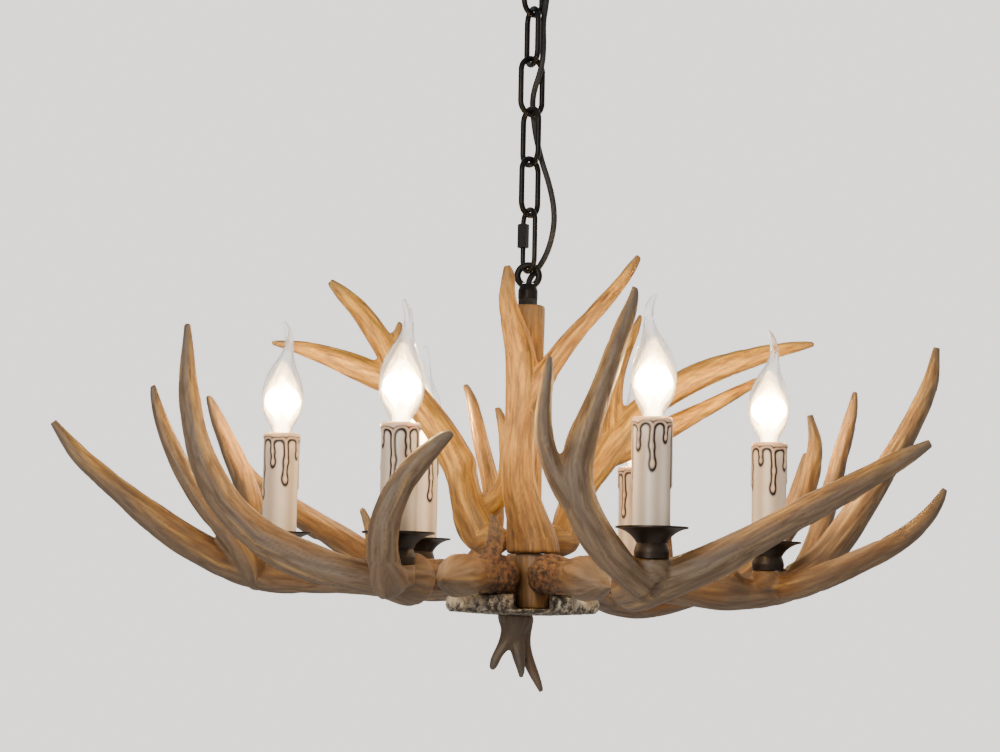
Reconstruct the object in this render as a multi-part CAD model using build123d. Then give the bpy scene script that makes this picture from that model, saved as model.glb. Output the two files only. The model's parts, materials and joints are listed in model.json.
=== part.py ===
from build123d import *
import math
import os

# Antler chandelier: six candle lamps on six antler arms, hung by a chain from a ceiling canopy.
# Millimetres, +Z up. The origin is the middle of the ceiling face that the canopy closes on.
# The fixture is laid out about the middle of its hub, which hangs HUB_DROP under the ceiling.

# Ceiling end
CANOPY_RADIUS = 58.0
CANOPY_HEIGHT = 30.0
CANOPY_FLAT = 17.0
CANOPY_SKIRT = 7.0
CANOPY_WALL = 1.2
CROSS_BAR_LENGTH = 98.0
CROSS_BAR_WIDTH = 20.0
CROSS_BAR_THICKNESS = 3.0
CEILING_SLOT_SPACING = 62.0
CEILING_SLOT_WIDTH = 4.6
CEILING_SLOT_LENGTH = 12.0
RING_NUT_RADIUS = 10.5
RING_NUT_HEIGHT = 3.0

# Loops and chain
LOOP_BAR = 5.6
LOOP_HOLE_RADIUS = 6.2
LOOP_NECK_RADIUS = 8.3
LOOP_NECK_HEIGHT = 7.5
LOOP_CORD_HOLE = 3.2
LOOP_CORD_FUNNEL = 5.8
CANOPY_LOOP_TURN = -42.0
LINK_WIRE = 4.8
LINK_INNER_LENGTH = 43.6
LINK_INNER_WIDTH = 17.4
LINK_TURNS = (48.0, -66.0, 36.0, -55.0, 52.0)
CONTACT_GAP = 0.3
QUICK_WIRE = 4.3
QUICK_INNER_LENGTH = 48.4
QUICK_INNER_WIDTH = 16.4
QUICK_TURN = -62.0
QUICK_NUT_RADIUS = 4.9
QUICK_NUT_LENGTH = 20.0
QUICK_NUT_CLEARANCE = 0.1
QUICK_OPENING = 8.0
QUICK_OPENING_FROM_TOP = 1.5

# Rod and column
ROD_RADIUS = 5.0
ROD_WALL = 1.3
ROD_CLEARANCE = 0.1
ROD_IN_LOOP = 5.0
COLUMN_TOP = 246.5
COLUMN_BOTTOM = 38.5
COLUMN_RADIUS = 14.5
LOCK_NUT_RADIUS = 8.0
LOCK_NUT_HEIGHT = 6.0

# Hub, rosette and finial
ARM_HEIGHT = 20.0
STUB_RADIUS = 14.0
STUB_BOTTOM = 5.0
POST_RADIUS = 13.2
POST_PLACE = (8.5, -15.5)
POST_SINK = 11.5
POST_SLOT = 31.0
ROSETTE_RADIUS = 64.0
ROSETTE_THICKNESS = 17.0
ROSETTE_EDGE = 14.0
ROSETTE_FLAT = 24.0
ROSETTE_NOTCHES = 23
ROSETTE_NOTCH_RADIUS = 4.5
ROSETTE_NOTCH_DEPTH = 2.6
STUD_RADIUS = 4.0
STUD_CLEARANCE = 0.1
STUD_REACH = 36.0
STUD_IN_STUB = 4.5
UPPER_STUD_REACH = 20.0
NOSE_GAP = 0.3
FINIAL_ROD_DEPTH = 7.0

# Lamps
RIM_TO_SEAT = 24.0
SLEEVE_ABOVE_RIM = 82.0
DISH_RADIUS = 27.5
DISH_LIP = 1.4
CUP_RADIUS = 13.0
CUP_NECK_RADIUS = 11.5
DISH_FLOOR = 18.5
SEAT_BOSS = 16.0
SLEEVE_RADIUS = 14.5
SLEEVE_WALL = 2.0
SLEEVE_CLEARANCE = 0.7
DRIP_COLLAR = 0.6
DRIP_COLLAR_HEIGHT = 7.0
DRIP_RADIUS = 2.0
DRIP_DROP_RADIUS = 2.5
DRIP_LENGTHS = (34.0, 19.0, 42.0, 15.0, 28.0)
NIPPLE_RADIUS = 4.5
NIPPLE_BORE = 2.8
NIPPLE_CLEARANCE = 0.15
NIPPLE_DEPTH = 13.0
HOLDER_RADIUS = 11.0
HOLDER_WALL = 2.4
HOLDER_FLOOR = 4.0
HOLDER_BELOW_SLEEVE = 3.0
CAP_RADIUS = 6.9
CAP_LENGTH = 23.0
CAP_CLEARANCE = 0.1
CAP_END_GAP = 1.0
CAP_COLLAR_RADIUS = 8.2
CAP_COLLAR_GAP = 0.3
BULB_WALL = 0.9
BULB_NECK_RADIUS = 8.0

# Cord
CORD_RADIUS = 2.5
CORD_HOLE_GAP = 0.3
CORD_HOLE_PLACE = 24.0

# Heights of the suspension above the hub's middle, each from the piece below it
EYE_BASE = COLUMN_TOP + LOCK_NUT_HEIGHT
LOOP_OUTER_RADIUS = LOOP_HOLE_RADIUS + LOOP_BAR
EYE_MIDDLE = EYE_BASE + LOOP_NECK_HEIGHT + LOOP_OUTER_RADIUS
QUICK_BOTTOM = EYE_MIDDLE + LOOP_HOLE_RADIUS - CONTACT_GAP
QUICK_TOP = QUICK_BOTTOM + QUICK_INNER_LENGTH
LINK_COUNT = len(LINK_TURNS)
LINK_PITCH = LINK_INNER_LENGTH - CONTACT_GAP
CHAIN_TOP = QUICK_TOP - CONTACT_GAP + LINK_PITCH * LINK_COUNT + CONTACT_GAP
CANOPY_LOOP_MIDDLE = CHAIN_TOP - CONTACT_GAP + LOOP_HOLE_RADIUS
CANOPY_LOOP_BASE = CANOPY_LOOP_MIDDLE + LOOP_OUTER_RADIUS + LOOP_NECK_HEIGHT
CANOPY_BOTTOM = CANOPY_LOOP_BASE + RING_NUT_HEIGHT
HUB_DROP = CANOPY_BOTTOM + CANOPY_HEIGHT
ROSETTE_BOTTOM = STUB_BOTTOM - ROSETTE_THICKNESS
NOSE_START = STUB_RADIUS + NOSE_GAP
UPPER_NOSE_START = COLUMN_RADIUS + NOSE_GAP

# Lamps on the circle, each with its place and the height of its seat above the hub's middle
LAMPS = {
    "left": (-204.0, 0.0, 29.0),
    "front_left": (-94.0, -177.0, 25.5),
    "back_left": (-94.0, 177.0, 31.0),
    "front_right": (96.0, -177.0, 33.0),
    "back_right": (101.0, 177.0, 17.0),
    "right": (203.0, 0.0, 28.5),
}

# Each antler arm: the way it leaves the hub, its beam after the burr, and its tines. Its girth
# scales every radius past the burr, so that the fixture's weight lies on the axis it hangs by.
# A point is (x, y, z, radius of the antler there), about the hub's middle.
ARMS = {
    "left": {
        "girth": 1.075,
        "heading": 180.0,
        "beam": [
            (-108, -2, 16, 13.8),
            (-146, -2, 16, 13.0),
            (-180, -3, 16.5, 13.4),
            (-214, -12, 18.5, 13.8),
            (-250, -32, 30.5, 12.9),
            (-288, -52, 53, 11.5),
            (-326, -64, 82, 9.0),
            (-358, -72, 110, 6.5),
            (-379, -80, 136, 2.6),
        ],
        "tines": [
            [
                (-224, -20, 17, 10.0),
                (-234, -44, 44, 9.6),
                (-258, -49, 71, 8.4),
                (-281, -52, 107, 7.2),
                (-296, -52, 140, 5.6),
                (-304, -52, 169, 2.2),
            ],
            [
                (-212, 8, 15, 11.0),
                (-229, 38, 31, 10.6),
                (-232, 46, 70, 10.0),
                (-244, 47, 106, 9.0),
                (-260, 45, 140, 7.0),
                (-273, 42, 170, 2.4),
            ],
            [(-124, 4, 16, 9.6), (-126, 15, 44, 6.4), (-137, 20, 75, 2.4)],
        ],
    },
    "front_left": {
        "girth": 1.045,
        "heading": 240.0,
        "beam": [
            (-56, -98, 17, 13.6),
            (-78, -134, 15, 13.6),
            (-106, -162, 14.5, 13.8),
            (-150, -165, 22.5, 13.6),
            (-199, -152, 43.5, 13.2),
            (-229, -150, 72, 12.0),
            (-249, -150, 110, 9.8),
            (-259, -150, 156, 7.5),
            (-262, -150, 205, 2.6),
        ],
        "tines": [
            [
                (-98, -180, 13, 12.0),
                (-102, -214, 27, 11.6),
                (-101, -221, 56, 10.8),
                (-85, -225, 90, 9.0),
                (-67, -228, 110, 6.6),
                (-53, -231, 121, 2.6),
            ],
            [(-36, -62, 18, 10.0), (-24, -54, 44, 7.0), (-26, -50, 69, 2.4)],
        ],
    },
    "back_left": {
        "girth": 1.06,
        "heading": 120.0,
        "beam": [
            (-55, 97, 16, 14.5),
            (-76, 134, 14, 15.5),
            (-103, 161, 17, 15.5),
            (-144, 160, 38, 13.0),
            (-200, 138, 72, 10.5),
            (-244, 131, 102, 8.0),
            (-261, 130, 136, 2.6),
        ],
        "tines": [
            [
                (-84, 176, 11, 12.0),
                (-50, 196, 26, 11.0),
                (-28, 198, 70, 9.6),
                (-33, 193, 112, 8.4),
                (-44, 190, 157, 7.0),
                (-57, 190, 198, 2.6),
            ],
            [
                (-182, 146, 60, 9.0),
                (-212, 150, 76, 7.0),
                (-236, 156, 84, 5.0),
                (-252, 160, 96, 2.4),
            ],
        ],
    },
    "right": {
        "girth": 0.93,
        "heading": 0.0,
        "beam": [
            (108, 3, 14, 14.5),
            (146, 2, 11, 15.0),
            (184, 2, 10, 15.5),
            (217, 5, 16, 15.0),
            (248, 10, 37, 14.4),
            (272, 12, 68, 13.8),
            (297, 15, 106, 11.6),
            (322, 16, 148, 9.6),
            (340, 18, 186, 8.0),
            (347, 20, 221, 2.6),
        ],
        "tines": [
            [
                (214, -4, 14, 11.6),
                (246, -28, 24, 11.6),
                (278, -37, 39, 10.6),
                (308, -40, 56.5, 9.0),
                (330, -40, 77, 6.8),
                (342, -40, 97, 2.6),
            ],
            [
                (212, 14, 12, 12.0),
                (240, 46, 34, 11.0),
                (257, 56, 76, 9.8),
                (267, 60, 113, 8.6),
                (277, 60, 150, 7.0),
                (284, 60, 185, 2.4),
            ],
        ],
    },
    "front_right": {
        "girth": 1.02,
        "heading": 300.0,
        "beam": [
            (58, -98, 16, 14.5),
            (80, -134, 14, 15.5),
            (104, -162, 17, 16.0),
            (136, -174, 29, 14.0),
            (170, -178, 47, 12.2),
            (208, -180, 69, 11.0),
            (246, -184, 90, 9.4),
            (279, -187, 109, 7.2),
            (303, -190, 123, 2.6),
        ],
        "tines": [
            [
                (92, -176, 13, 13.5),
                (64, -193, 36, 13.0),
                (43, -197, 70, 13.0),
                (39, -198, 100, 12.4),
                (49, -199, 138, 10.2),
                (64, -199, 182, 8.0),
                (75, -199, 214, 6.0),
                (80, -199, 235, 2.6),
            ],
            [
                (38, -198, 72, 10.0),
                (22, -200, 96, 8.0),
                (14, -200, 122, 7.0),
                (14, -200, 150, 6.0),
                (17, -200, 182, 2.4),
            ],
        ],
    },
    "back_right": {
        "girth": 0.93,
        "heading": 60.0,
        "beam": [
            (56, 97, 13, 14.5),
            (78, 134, 4, 15.5),
            (106, 160, 0.5, 16.0),
            (146, 164, 8, 14.5),
            (192, 152, 28, 13.0),
            (228, 140, 58, 11.4),
            (250, 132, 98, 9.6),
            (259, 130, 138, 7.6),
            (254, 130, 172, 2.6),
        ],
        "tines": [
            [(226, 142, 54, 9.0), (240, 150, 86, 7.6), (248, 152, 112, 6.2), (254, 152, 138, 2.4)],
            [
                (104, 184, 0, 12.0),
                (129, 214, 20, 10.5),
                (131, 220, 56, 8.6),
                (128, 221, 90, 6.8),
                (126, 222, 120, 2.4),
            ],
        ],
    },
}

# The burr that each arm flares into where it meets the hub: (distance out from the axis, radius)
BURR = ((NOSE_START, 6.5), (26, 11.8), (38, 14.4), (54, 13.6), (76, 13.8))
FRONT_BURR = ((NOSE_START, 6.5), (26, 12.0), (33, 15.2), (42, 17.6), (56, 16.8), (76, 14.2))
UPPER_BURR = ((UPPER_NOSE_START, 6.5), (25, 10.4), (36, 13.4), (47, 13.6))

# The two upper antlers rise from behind the column
UPPER = {
    "left": {
        "girth": 1.06,
        "heading": 135.0,
        "nose_height": 50.0,
        "beam": [
            (-48, 42, 82, 14.0),
            (-54, 47, 108, 13.6),
            (-67, 55, 134, 13.2),
            (-86, 66, 160, 12.6),
            (-105, 76, 185, 12.0),
            (-126, 85, 221, 10.2),
            (-146, 88, 249, 8.6),
            (-163, 90, 266, 6.4),
            (-176, 92, 278, 2.6),
        ],
        "tines": [
            [
                (-112, 79, 186, 10.8),
                (-140, 85, 197, 11.2),
                (-164, 88, 207, 9.8),
                (-192, 90, 216, 6.9),
                (-210, 92, 220, 4.6),
                (-226, 93, 222.5, 1.9),
            ],
            [(-122, 82, 208, 8.0), (-115, 85, 226, 5.6), (-112, 86, 242, 2.2)],
            [
                (-43, 40, 70, 9.5),
                (-22, 42, 88, 9.0),
                (-14, 45, 110, 8.2),
                (-15, 47, 130, 7.0),
                (-19, 49, 148, 5.2),
                (-25, 50, 165, 2.4),
            ],
        ],
    },
    "right": {
        "girth": 0.93,
        "heading": 45.0,
        "nose_height": 50.0,
        "beam": [
            (38, 42, 72, 13.5),
            (50, 47, 98, 13.5),
            (70, 56, 128, 15.0),
            (90, 68, 154, 14.0),
            (112, 78, 175, 13.4),
            (138, 84, 192, 13.2),
            (158, 87, 202, 12.4),
            (178, 89, 210, 11.2),
            (200, 91, 217, 9.2),
            (220, 92, 223, 7.2),
            (240, 93.5, 227.5, 4.6),
            (254, 94, 230, 1.9),
        ],
        "tines": [
            [
                (66, 54, 124, 11.0),
                (98, 68, 137, 11.5),
                (130, 83, 155, 10.0),
                (164, 98, 174, 7.8),
                (184, 105, 185.5, 6.2),
                (204, 112, 197, 4.2),
                (222, 118, 206, 1.8),
            ],
            [
                (74, 60, 134, 13.0),
                (74, 68, 166, 11.5),
                (78, 78, 200, 9.6),
                (90, 87, 229, 6.4),
                (100, 92, 253, 2.4),
            ],
        ],
    },
}

# The column's front trunk, which forks into two tines beside the eye
TRUNK = [
    (10, -12, 24, 20.0),
    (9, -14, 46, 20.0),
    (2, -19, 70, 16.5),
    (-5, -23, 98, 14.8),
    (-5, -25, 132, 13.4),
    (-4, -27, 168, 13.4),
    (-5, -29, 200, 13.0),
    (-12, -31, 228, 9.8),
    (-17, -31, 254, 6.8),
    (-18, -31, 276, 3.0),
]
TRUNK_TINES = [
    [
        (2, -27, 160, 11.0),
        (17, -31, 188, 9.8),
        (34, -36, 212, 8.0),
        (54, -39, 235, 6.8),
        (75, -40, 260, 5.8),
        (91, -40, 284, 2.6),
    ]
]

# The finial's stem and tines, below the rosette
FINIAL_STEM = [
    (-3, 0, 0, 15.5),
    (-6, -2, -13, 14.6),
    (-7, -3, -21, 12.4),
    (-10, -4, -30, 8.6),
    (-16, -6, -39, 5.2),
    (-21, -7, -48, 4.2),
    (-25, -8, -57, 1.8),
]
FINIAL_TINES = [
    [(-5, -2, -18, 9.5), (-4, -3, -30, 7.0), (-3, -5, -41, 6.0), (-1, -7, -52, 4.4), (0, -8, -63, 2.0)],
    [
        (0, 2, -13, 9.5),
        (1, 3, -23, 8.0),
        (2, 4, -32, 5.6),
        (4, 4, -42, 4.8),
        (8, 4, -54, 4.8),
        (13, 3, -65, 3.8),
        (17, 3, -75, 1.8),
    ],
]

# The cord's route about the hub's middle, from the canopy down into the eye
CORD_ROUTE = [
    (24.0, 0.0, 576.0),
    (24.0, 0.0, 561.0),
    (20.0, 2.5, 543.0),
    (12.9, 3.7, 524.8),
    (10.8, 1.5, 503.9),
    (8.7, -1.3, 489.1),
    (9.7, -3.5, 468.4),
    (8.4, -2.7, 449.9),
    (0.9, 4.9, 428.7),
    (1.5, 10.6, 412.7),
    (4.5, 10.0, 392.5),
    (9.9, -0.7, 369.0),
    (15.6, -2.4, 352.6),
    (20.6, 1.0, 332.9),
    (21.3, 3.5, 314.1),
    (16.4, 8.1, 294.0),
    (8.2, 7.3, 278.8),
    (1.6, 3.8, 271.1),
    (0.0, 0.4, 264.0),
    (0.0, 0.0, 255.0),
]
# Where the cord's free stretches meet, each in the middle of a link
CORD_CUTS = (521.0, 477.5, 434.0, 391.0, 347.5, 302.0)


# The bulb's outline: (height above its collar, radius, lean of the flame's tip to one side)
FLAME = (
    (0.0, BULB_NECK_RADIUS, 0.0),
    (8.0, 11.4, 0.0),
    (18.0, 15.9, 0.0),
    (30.0, 17.5, 0.0),
    (42.0, 16.0, 0.2),
    (52.0, 12.2, 0.9),
    (60.0, 8.2, 2.0),
    (68.0, 5.2, 3.4),
    (77.0, 3.8, 4.2),
    (86.0, 3.0, 3.0),
    (94.0, 1.6, -0.8),
)
FLAME_TURNS = (0.0, 20.0, 300.0, 180.0, 240.0, 350.0)


def to_place(shape):
    """Moves a shape that is laid out about the hub's middle to where the hub hangs."""
    return shape.moved(Location((0, 0, -HUB_DROP)))


def polar(distance, heading, height):
    """The point at a distance from the axis, along a heading in degrees."""
    turn = math.radians(heading)
    return Vector(distance * math.cos(turn), distance * math.sin(turn), height)


def rod_along(start, direction, length, radius):
    """A round bar that starts at a point and runs along a direction."""
    return extrude(Plane(origin=start, z_dir=direction) * Circle(radius), length)


def upright(radius, bottom, top, x=0.0, y=0.0):
    """An upright cylinder between two heights."""
    return extrude(Plane(origin=(x, y, bottom)) * Circle(radius), top - bottom)


def turned(outline):
    """A solid turned about the upright axis from an outline of edges in the XZ plane."""
    return revolve(make_face(Plane.XZ * outline), Axis.Z)


def hexagon(radius, bottom, top, x=0.0, y=0.0):
    return extrude(Plane(origin=(x, y, bottom)) * RegularPolygon(radius, 6), top - bottom)


def antler(points):
    """A smooth horn through round sections: each point gives the middle and the radius there."""
    middles = [Vector(x, y, z) for x, y, z, radius in points]
    sections = []
    side = None
    for i, middle in enumerate(middles):
        before = middles[max(i - 1, 0)]
        after = middles[min(i + 1, len(middles) - 1)]
        along = (after - before).normalized()
        if side is None:
            side = Vector(0, 0, 1) if abs(along.Z) < 0.9 else Vector(1, 0, 0)
        side = (side - along * side.dot(along)).normalized()
        plane = Plane(origin=middle, x_dir=side, z_dir=along)
        sections.append(plane * Circle(points[i][3]))
    return loft(sections).solid()


def scaled(points, girth):
    """The same points with every radius scaled by a girth."""
    return [(x, y, z, radius * girth) for x, y, z, radius in points]


def base_points(burr, heading, height):
    """The antler's base: a nose at the hub, then the flared burr."""
    return [(*tuple(polar(distance, heading, height)), radius) for distance, radius in burr]


def stud_hole(start, reach, heading, height):
    """The blind hole that an antler's base has for its stud."""
    return rod_along(
        polar(start - 1, heading, height),
        polar(1, heading, 0),
        reach + 2,
        STUD_RADIUS + STUD_CLEARANCE,
    )


def arm(name):
    """One antler arm: beam, tines, lamp seat with its nipple hole, and the stud's hole."""
    spec = ARMS[name]
    heading = spec["heading"]
    x, y, seat = LAMPS[name]
    girth = spec["girth"]
    burr = FRONT_BURR if name.startswith("front") else BURR
    body = antler(base_points(burr, heading, ARM_HEIGHT) + scaled(spec["beam"], girth))
    for tine in spec["tines"]:
        body = body.fuse(antler(scaled(tine, girth)))
    body = body.cut(front_post(NOSE_GAP))
    body = body.cut(upright(ROSETTE_RADIUS + 1, ROSETTE_BOTTOM, STUB_BOTTOM + NOSE_GAP))
    body = body.fuse(upright(CUP_RADIUS + 0.5, seat - SEAT_BOSS, seat, x, y))
    body = body.cut(upright(CUP_RADIUS + 4, seat, seat + SEAT_BOSS, x, y))
    body = body.cut(
        upright(NIPPLE_RADIUS + NIPPLE_CLEARANCE, seat - NIPPLE_DEPTH - 1, seat + 1, x, y)
    )
    return body.cut(stud_hole(NOSE_START, STUD_REACH, heading, ARM_HEIGHT))


def upper_antler(name):
    """One of the two antlers that rise from behind the column."""
    spec = UPPER[name]
    heading, height = spec["heading"], spec["nose_height"]
    girth = spec["girth"]
    body = antler(base_points(UPPER_BURR, heading, height) + scaled(spec["beam"], girth))
    for tine in spec["tines"]:
        body = body.fuse(antler(scaled(tine, girth)))
    return body.cut(stud_hole(UPPER_NOSE_START, UPPER_STUD_REACH, heading, height))


def studs():
    """The studs that carry the arms in the hub stub, and the upper antlers in the column."""
    bars = []
    for spec in ARMS.values():
        start = polar(STUB_RADIUS - STUD_IN_STUB, spec["heading"], ARM_HEIGHT)
        outward = polar(1, spec["heading"], 0)
        bars.append(rod_along(start, outward, STUD_IN_STUB + STUD_REACH, STUD_RADIUS))
    for spec in UPPER.values():
        start = polar(COLUMN_RADIUS - STUD_IN_STUB, spec["heading"], spec["nose_height"])
        outward = polar(1, spec["heading"], 0)
        bars.append(rod_along(start, outward, STUD_IN_STUB + UPPER_STUD_REACH, STUD_RADIUS))
    return bars


def rod_hole(bottom, top):
    return upright(ROD_RADIUS + ROD_CLEARANCE, bottom, top)


def column():
    """The upright antler: a straight tube with a front trunk that forks beside the eye."""
    body = upright(COLUMN_RADIUS, COLUMN_BOTTOM, COLUMN_TOP)
    trunk = antler(TRUNK)
    for tine in TRUNK_TINES:
        trunk = trunk.fuse(antler(tine))
    trunk = trunk.cut(upright(CUP_RADIUS * 6, TRUNK[0][2] - 40, COLUMN_BOTTOM))
    body = body.fuse(trunk).cut(rod_hole(COLUMN_BOTTOM - 1, COLUMN_TOP + 1))
    for spec in UPPER.values():
        start = polar(COLUMN_RADIUS - STUD_IN_STUB, spec["heading"], spec["nose_height"])
        outward = polar(1, spec["heading"], 0)
        body = body.cut(rod_along(start, outward, STUD_IN_STUB + 5, STUD_RADIUS + STUD_CLEARANCE))
    return body


def front_post(gap):
    """The stub's front half, under the column's trunk. It sinks into the rosette's front slot."""
    x, y = POST_PLACE
    return upright(POST_RADIUS + gap, STUB_BOTTOM - POST_SINK - gap, COLUMN_BOTTOM, x, y)


def stub():
    """The short antler length between the column and the rosette, drilled for the arms' studs."""
    body = upright(STUB_RADIUS, STUB_BOTTOM, COLUMN_BOTTOM).fuse(front_post(0))
    body = body.cut(rod_hole(ROSETTE_BOTTOM, COLUMN_BOTTOM + 1))
    for spec in ARMS.values():
        start = polar(STUB_RADIUS - STUD_IN_STUB, spec["heading"], ARM_HEIGHT)
        outward = polar(1, spec["heading"], 0)
        body = body.cut(rod_along(start, outward, STUD_REACH, STUD_RADIUS + STUD_CLEARANCE))
    return body


def rosette():
    """The burr plate under the hub: a thick disc with a knobbly, notched edge."""
    edge_top = STUB_BOTTOM - (ROSETTE_THICKNESS - ROSETTE_EDGE) / 3
    edge_bottom = edge_top - ROSETTE_EDGE
    outline = (
        Polyline(
            (0, ROSETTE_BOTTOM),
            (ROSETTE_FLAT, ROSETTE_BOTTOM),
            (ROSETTE_RADIUS - 3, edge_bottom),
        )
        + ThreePointArc(
            (ROSETTE_RADIUS - 3, edge_bottom),
            (ROSETTE_RADIUS, edge_top - ROSETTE_EDGE / 2),
            (ROSETTE_RADIUS - 3, edge_top),
        )
        + Polyline(
            (ROSETTE_RADIUS - 3, edge_top),
            (ROSETTE_RADIUS - 14, STUB_BOTTOM),
            (0, STUB_BOTTOM),
            (0, ROSETTE_BOTTOM),
        )
    )
    body = turned(outline)
    for i in range(ROSETTE_NOTCHES):
        place = polar(
            ROSETTE_RADIUS + ROSETTE_NOTCH_RADIUS - ROSETTE_NOTCH_DEPTH,
            360 * i / ROSETTE_NOTCHES,
            0,
        )
        body = body.cut(
            upright(ROSETTE_NOTCH_RADIUS, ROSETTE_BOTTOM - 1, STUB_BOTTOM + 1, place.X, place.Y)
        )
    slot_bottom = STUB_BOTTOM - POST_SINK - NOSE_GAP
    slot = Pos(POST_PLACE[0], POST_PLACE[1] - ROSETTE_RADIUS / 2) * Box(
        POST_SLOT, ROSETTE_RADIUS, STUB_BOTTOM + 1 - slot_bottom
    )
    body = body.cut(slot.moved(Location((0, 0, (STUB_BOTTOM + 1 + slot_bottom) / 2))))
    body = body.cut(front_post(NOSE_GAP))
    return body.cut(rod_hole(ROSETTE_BOTTOM - 1, STUB_BOTTOM + 1))


def finial():
    """The small antler that hangs under the rosette, split into three tines."""
    body = antler(FINIAL_STEM)
    for tine in FINIAL_TINES:
        body = body.fuse(antler(tine))
    body = body.cut(upright(ROSETTE_RADIUS, ROSETTE_BOTTOM, STUB_BOTTOM + ROSETTE_THICKNESS))
    return body.cut(rod_hole(ROSETTE_BOTTOM - FINIAL_ROD_DEPTH - 1, ROSETTE_BOTTOM + 1))


def loop(base, up):
    """A forged loop on a bored neck. It stands on base and points up, or down if up is -1."""
    middle = LOOP_NECK_HEIGHT + LOOP_OUTER_RADIUS
    ring = Torus(LOOP_HOLE_RADIUS + LOOP_BAR / 2, LOOP_BAR / 2, rotation=(90, 0, 0))
    body = ring.moved(Location((0, 0, middle)))
    body = body.fuse(upright(LOOP_NECK_RADIUS, 0, LOOP_NECK_HEIGHT - 1))
    shoulder_top = middle - LOOP_HOLE_RADIUS - 1.2
    shoulder = loft(
        [
            Plane(origin=(0, 0, LOOP_NECK_HEIGHT - 1)) * Circle(LOOP_NECK_RADIUS),
            Plane(origin=(0, 0, shoulder_top)) * Circle(LOOP_CORD_FUNNEL + 0.9),
        ],
        ruled=True,
    )
    body = body.fuse(shoulder)
    funnel = loft(
        [
            Plane(origin=(0, 0, shoulder_top - 4.5)) * Circle(LOOP_CORD_HOLE),
            Plane(origin=(0, 0, shoulder_top + 1.6)) * Circle(LOOP_CORD_FUNNEL),
        ],
        ruled=True,
    )
    body = body.cut(funnel)
    body = body.cut(upright(LOOP_CORD_HOLE, -1, shoulder_top))
    body = body.cut(upright(ROD_RADIUS + ROD_CLEARANCE, -1, ROD_IN_LOOP + 0.5))
    if up < 0:
        body = body.rotate(Axis.X, 180)
    return body.moved(Location((0, 0, base)))


def oval(wire, inner_width, inner_length, bottom, turn):
    """A closed oval link of round wire. Its opening starts at the height bottom."""
    bend = (inner_width + wire) / 2
    straight = inner_length - inner_width
    low = bottom + inner_width / 2
    high = low + straight
    path = (
        Line((bend, low), (bend, high))
        + ThreePointArc((bend, high), (0, high + bend), (-bend, high))
        + Line((-bend, high), (-bend, low))
        + ThreePointArc((-bend, low), (0, low - bend), (bend, low))
    )
    section = Plane(origin=(bend, 0, low), z_dir=(0, 0, 1)) * Circle(wire / 2)
    ring = sweep(section, path=Plane.XZ * path)
    return ring.rotate(Axis.Z, turn)


def link_bottom(i):
    """The height where a link's opening starts. Link 0 is the top one."""
    return CHAIN_TOP - LINK_INNER_LENGTH - LINK_PITCH * i


def quick_leg():
    """The middle of the quick link's leg that opens, turned to its place."""
    bend = (QUICK_INNER_WIDTH + QUICK_WIRE) / 2
    return polar(-bend, QUICK_TURN, 0)


def quick_opening():
    """The heights between which the quick link's leg is open."""
    top = QUICK_TOP - QUICK_INNER_WIDTH / 2 - QUICK_OPENING_FROM_TOP
    return top - QUICK_OPENING, top


def quick_link():
    """The oval link whose one leg is parted, so that it can be hooked in and closed by its nut."""
    body = oval(QUICK_WIRE, QUICK_INNER_WIDTH, QUICK_INNER_LENGTH, QUICK_BOTTOM, QUICK_TURN)
    leg = quick_leg()
    low, high = quick_opening()
    return body.cut(upright(QUICK_WIRE, low, high, leg.X, leg.Y))


def quick_nut():
    """The long sleeve nut that bridges the quick link's opening."""
    leg = quick_leg()
    top = quick_opening()[1] + QUICK_OPENING_FROM_TOP / 2
    body = hexagon(QUICK_NUT_RADIUS, top - QUICK_NUT_LENGTH, top, leg.X, leg.Y)
    bore = QUICK_WIRE / 2 + QUICK_NUT_CLEARANCE
    return body.cut(upright(bore, top - QUICK_NUT_LENGTH - 1, top + 1, leg.X, leg.Y))


def threaded_rod():
    """The hollow rod that runs from the eye down to the finial and carries the whole fixture."""
    bottom = ROSETTE_BOTTOM - FINIAL_ROD_DEPTH
    top = EYE_BASE + ROD_IN_LOOP
    return upright(ROD_RADIUS, bottom, top).cut(upright(ROD_RADIUS - ROD_WALL, bottom - 1, top + 1))


def lock_nut():
    return hexagon(LOCK_NUT_RADIUS, COLUMN_TOP, EYE_BASE).cut(rod_hole(COLUMN_TOP - 1, EYE_BASE + 1))


def canopy():
    """The cup that covers the ceiling box, with holes for the nipple and for the cord."""
    flat, radius, wall = CANOPY_FLAT, CANOPY_RADIUS, CANOPY_WALL
    top = CANOPY_BOTTOM + CANOPY_HEIGHT
    skirt = top - CANOPY_SKIRT
    rise = skirt - CANOPY_BOTTOM
    dome = ((radius - flat) ** 2 + rise**2) / (2 * rise)
    half_turn = math.asin((radius - flat) / dome) / 2

    def dome_point(bend):
        """The point half way round the dome's outer or inner bend."""
        return (
            flat + bend * math.sin(half_turn),
            CANOPY_BOTTOM + dome - bend * math.cos(half_turn),
        )

    outline = (
        Polyline((0, CANOPY_BOTTOM), (flat, CANOPY_BOTTOM))
        + ThreePointArc((flat, CANOPY_BOTTOM), dome_point(dome), (radius, skirt))
        + Polyline((radius, skirt), (radius, top), (radius - wall, top), (radius - wall, skirt))
        + ThreePointArc(
            (radius - wall, skirt),
            dome_point(dome - wall),
            (flat, CANOPY_BOTTOM + wall),
        )
        + Polyline((flat, CANOPY_BOTTOM + wall), (0, CANOPY_BOTTOM + wall), (0, CANOPY_BOTTOM))
    )
    body = turned(outline).cut(rod_hole(CANOPY_BOTTOM - 1, CANOPY_BOTTOM + wall + 1))
    return body.cut(
        upright(
            CORD_RADIUS + CORD_HOLE_GAP,
            CANOPY_BOTTOM - 1,
            CANOPY_BOTTOM + CANOPY_HEIGHT / 2,
            CORD_HOLE_PLACE,
        )
    )


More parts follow.
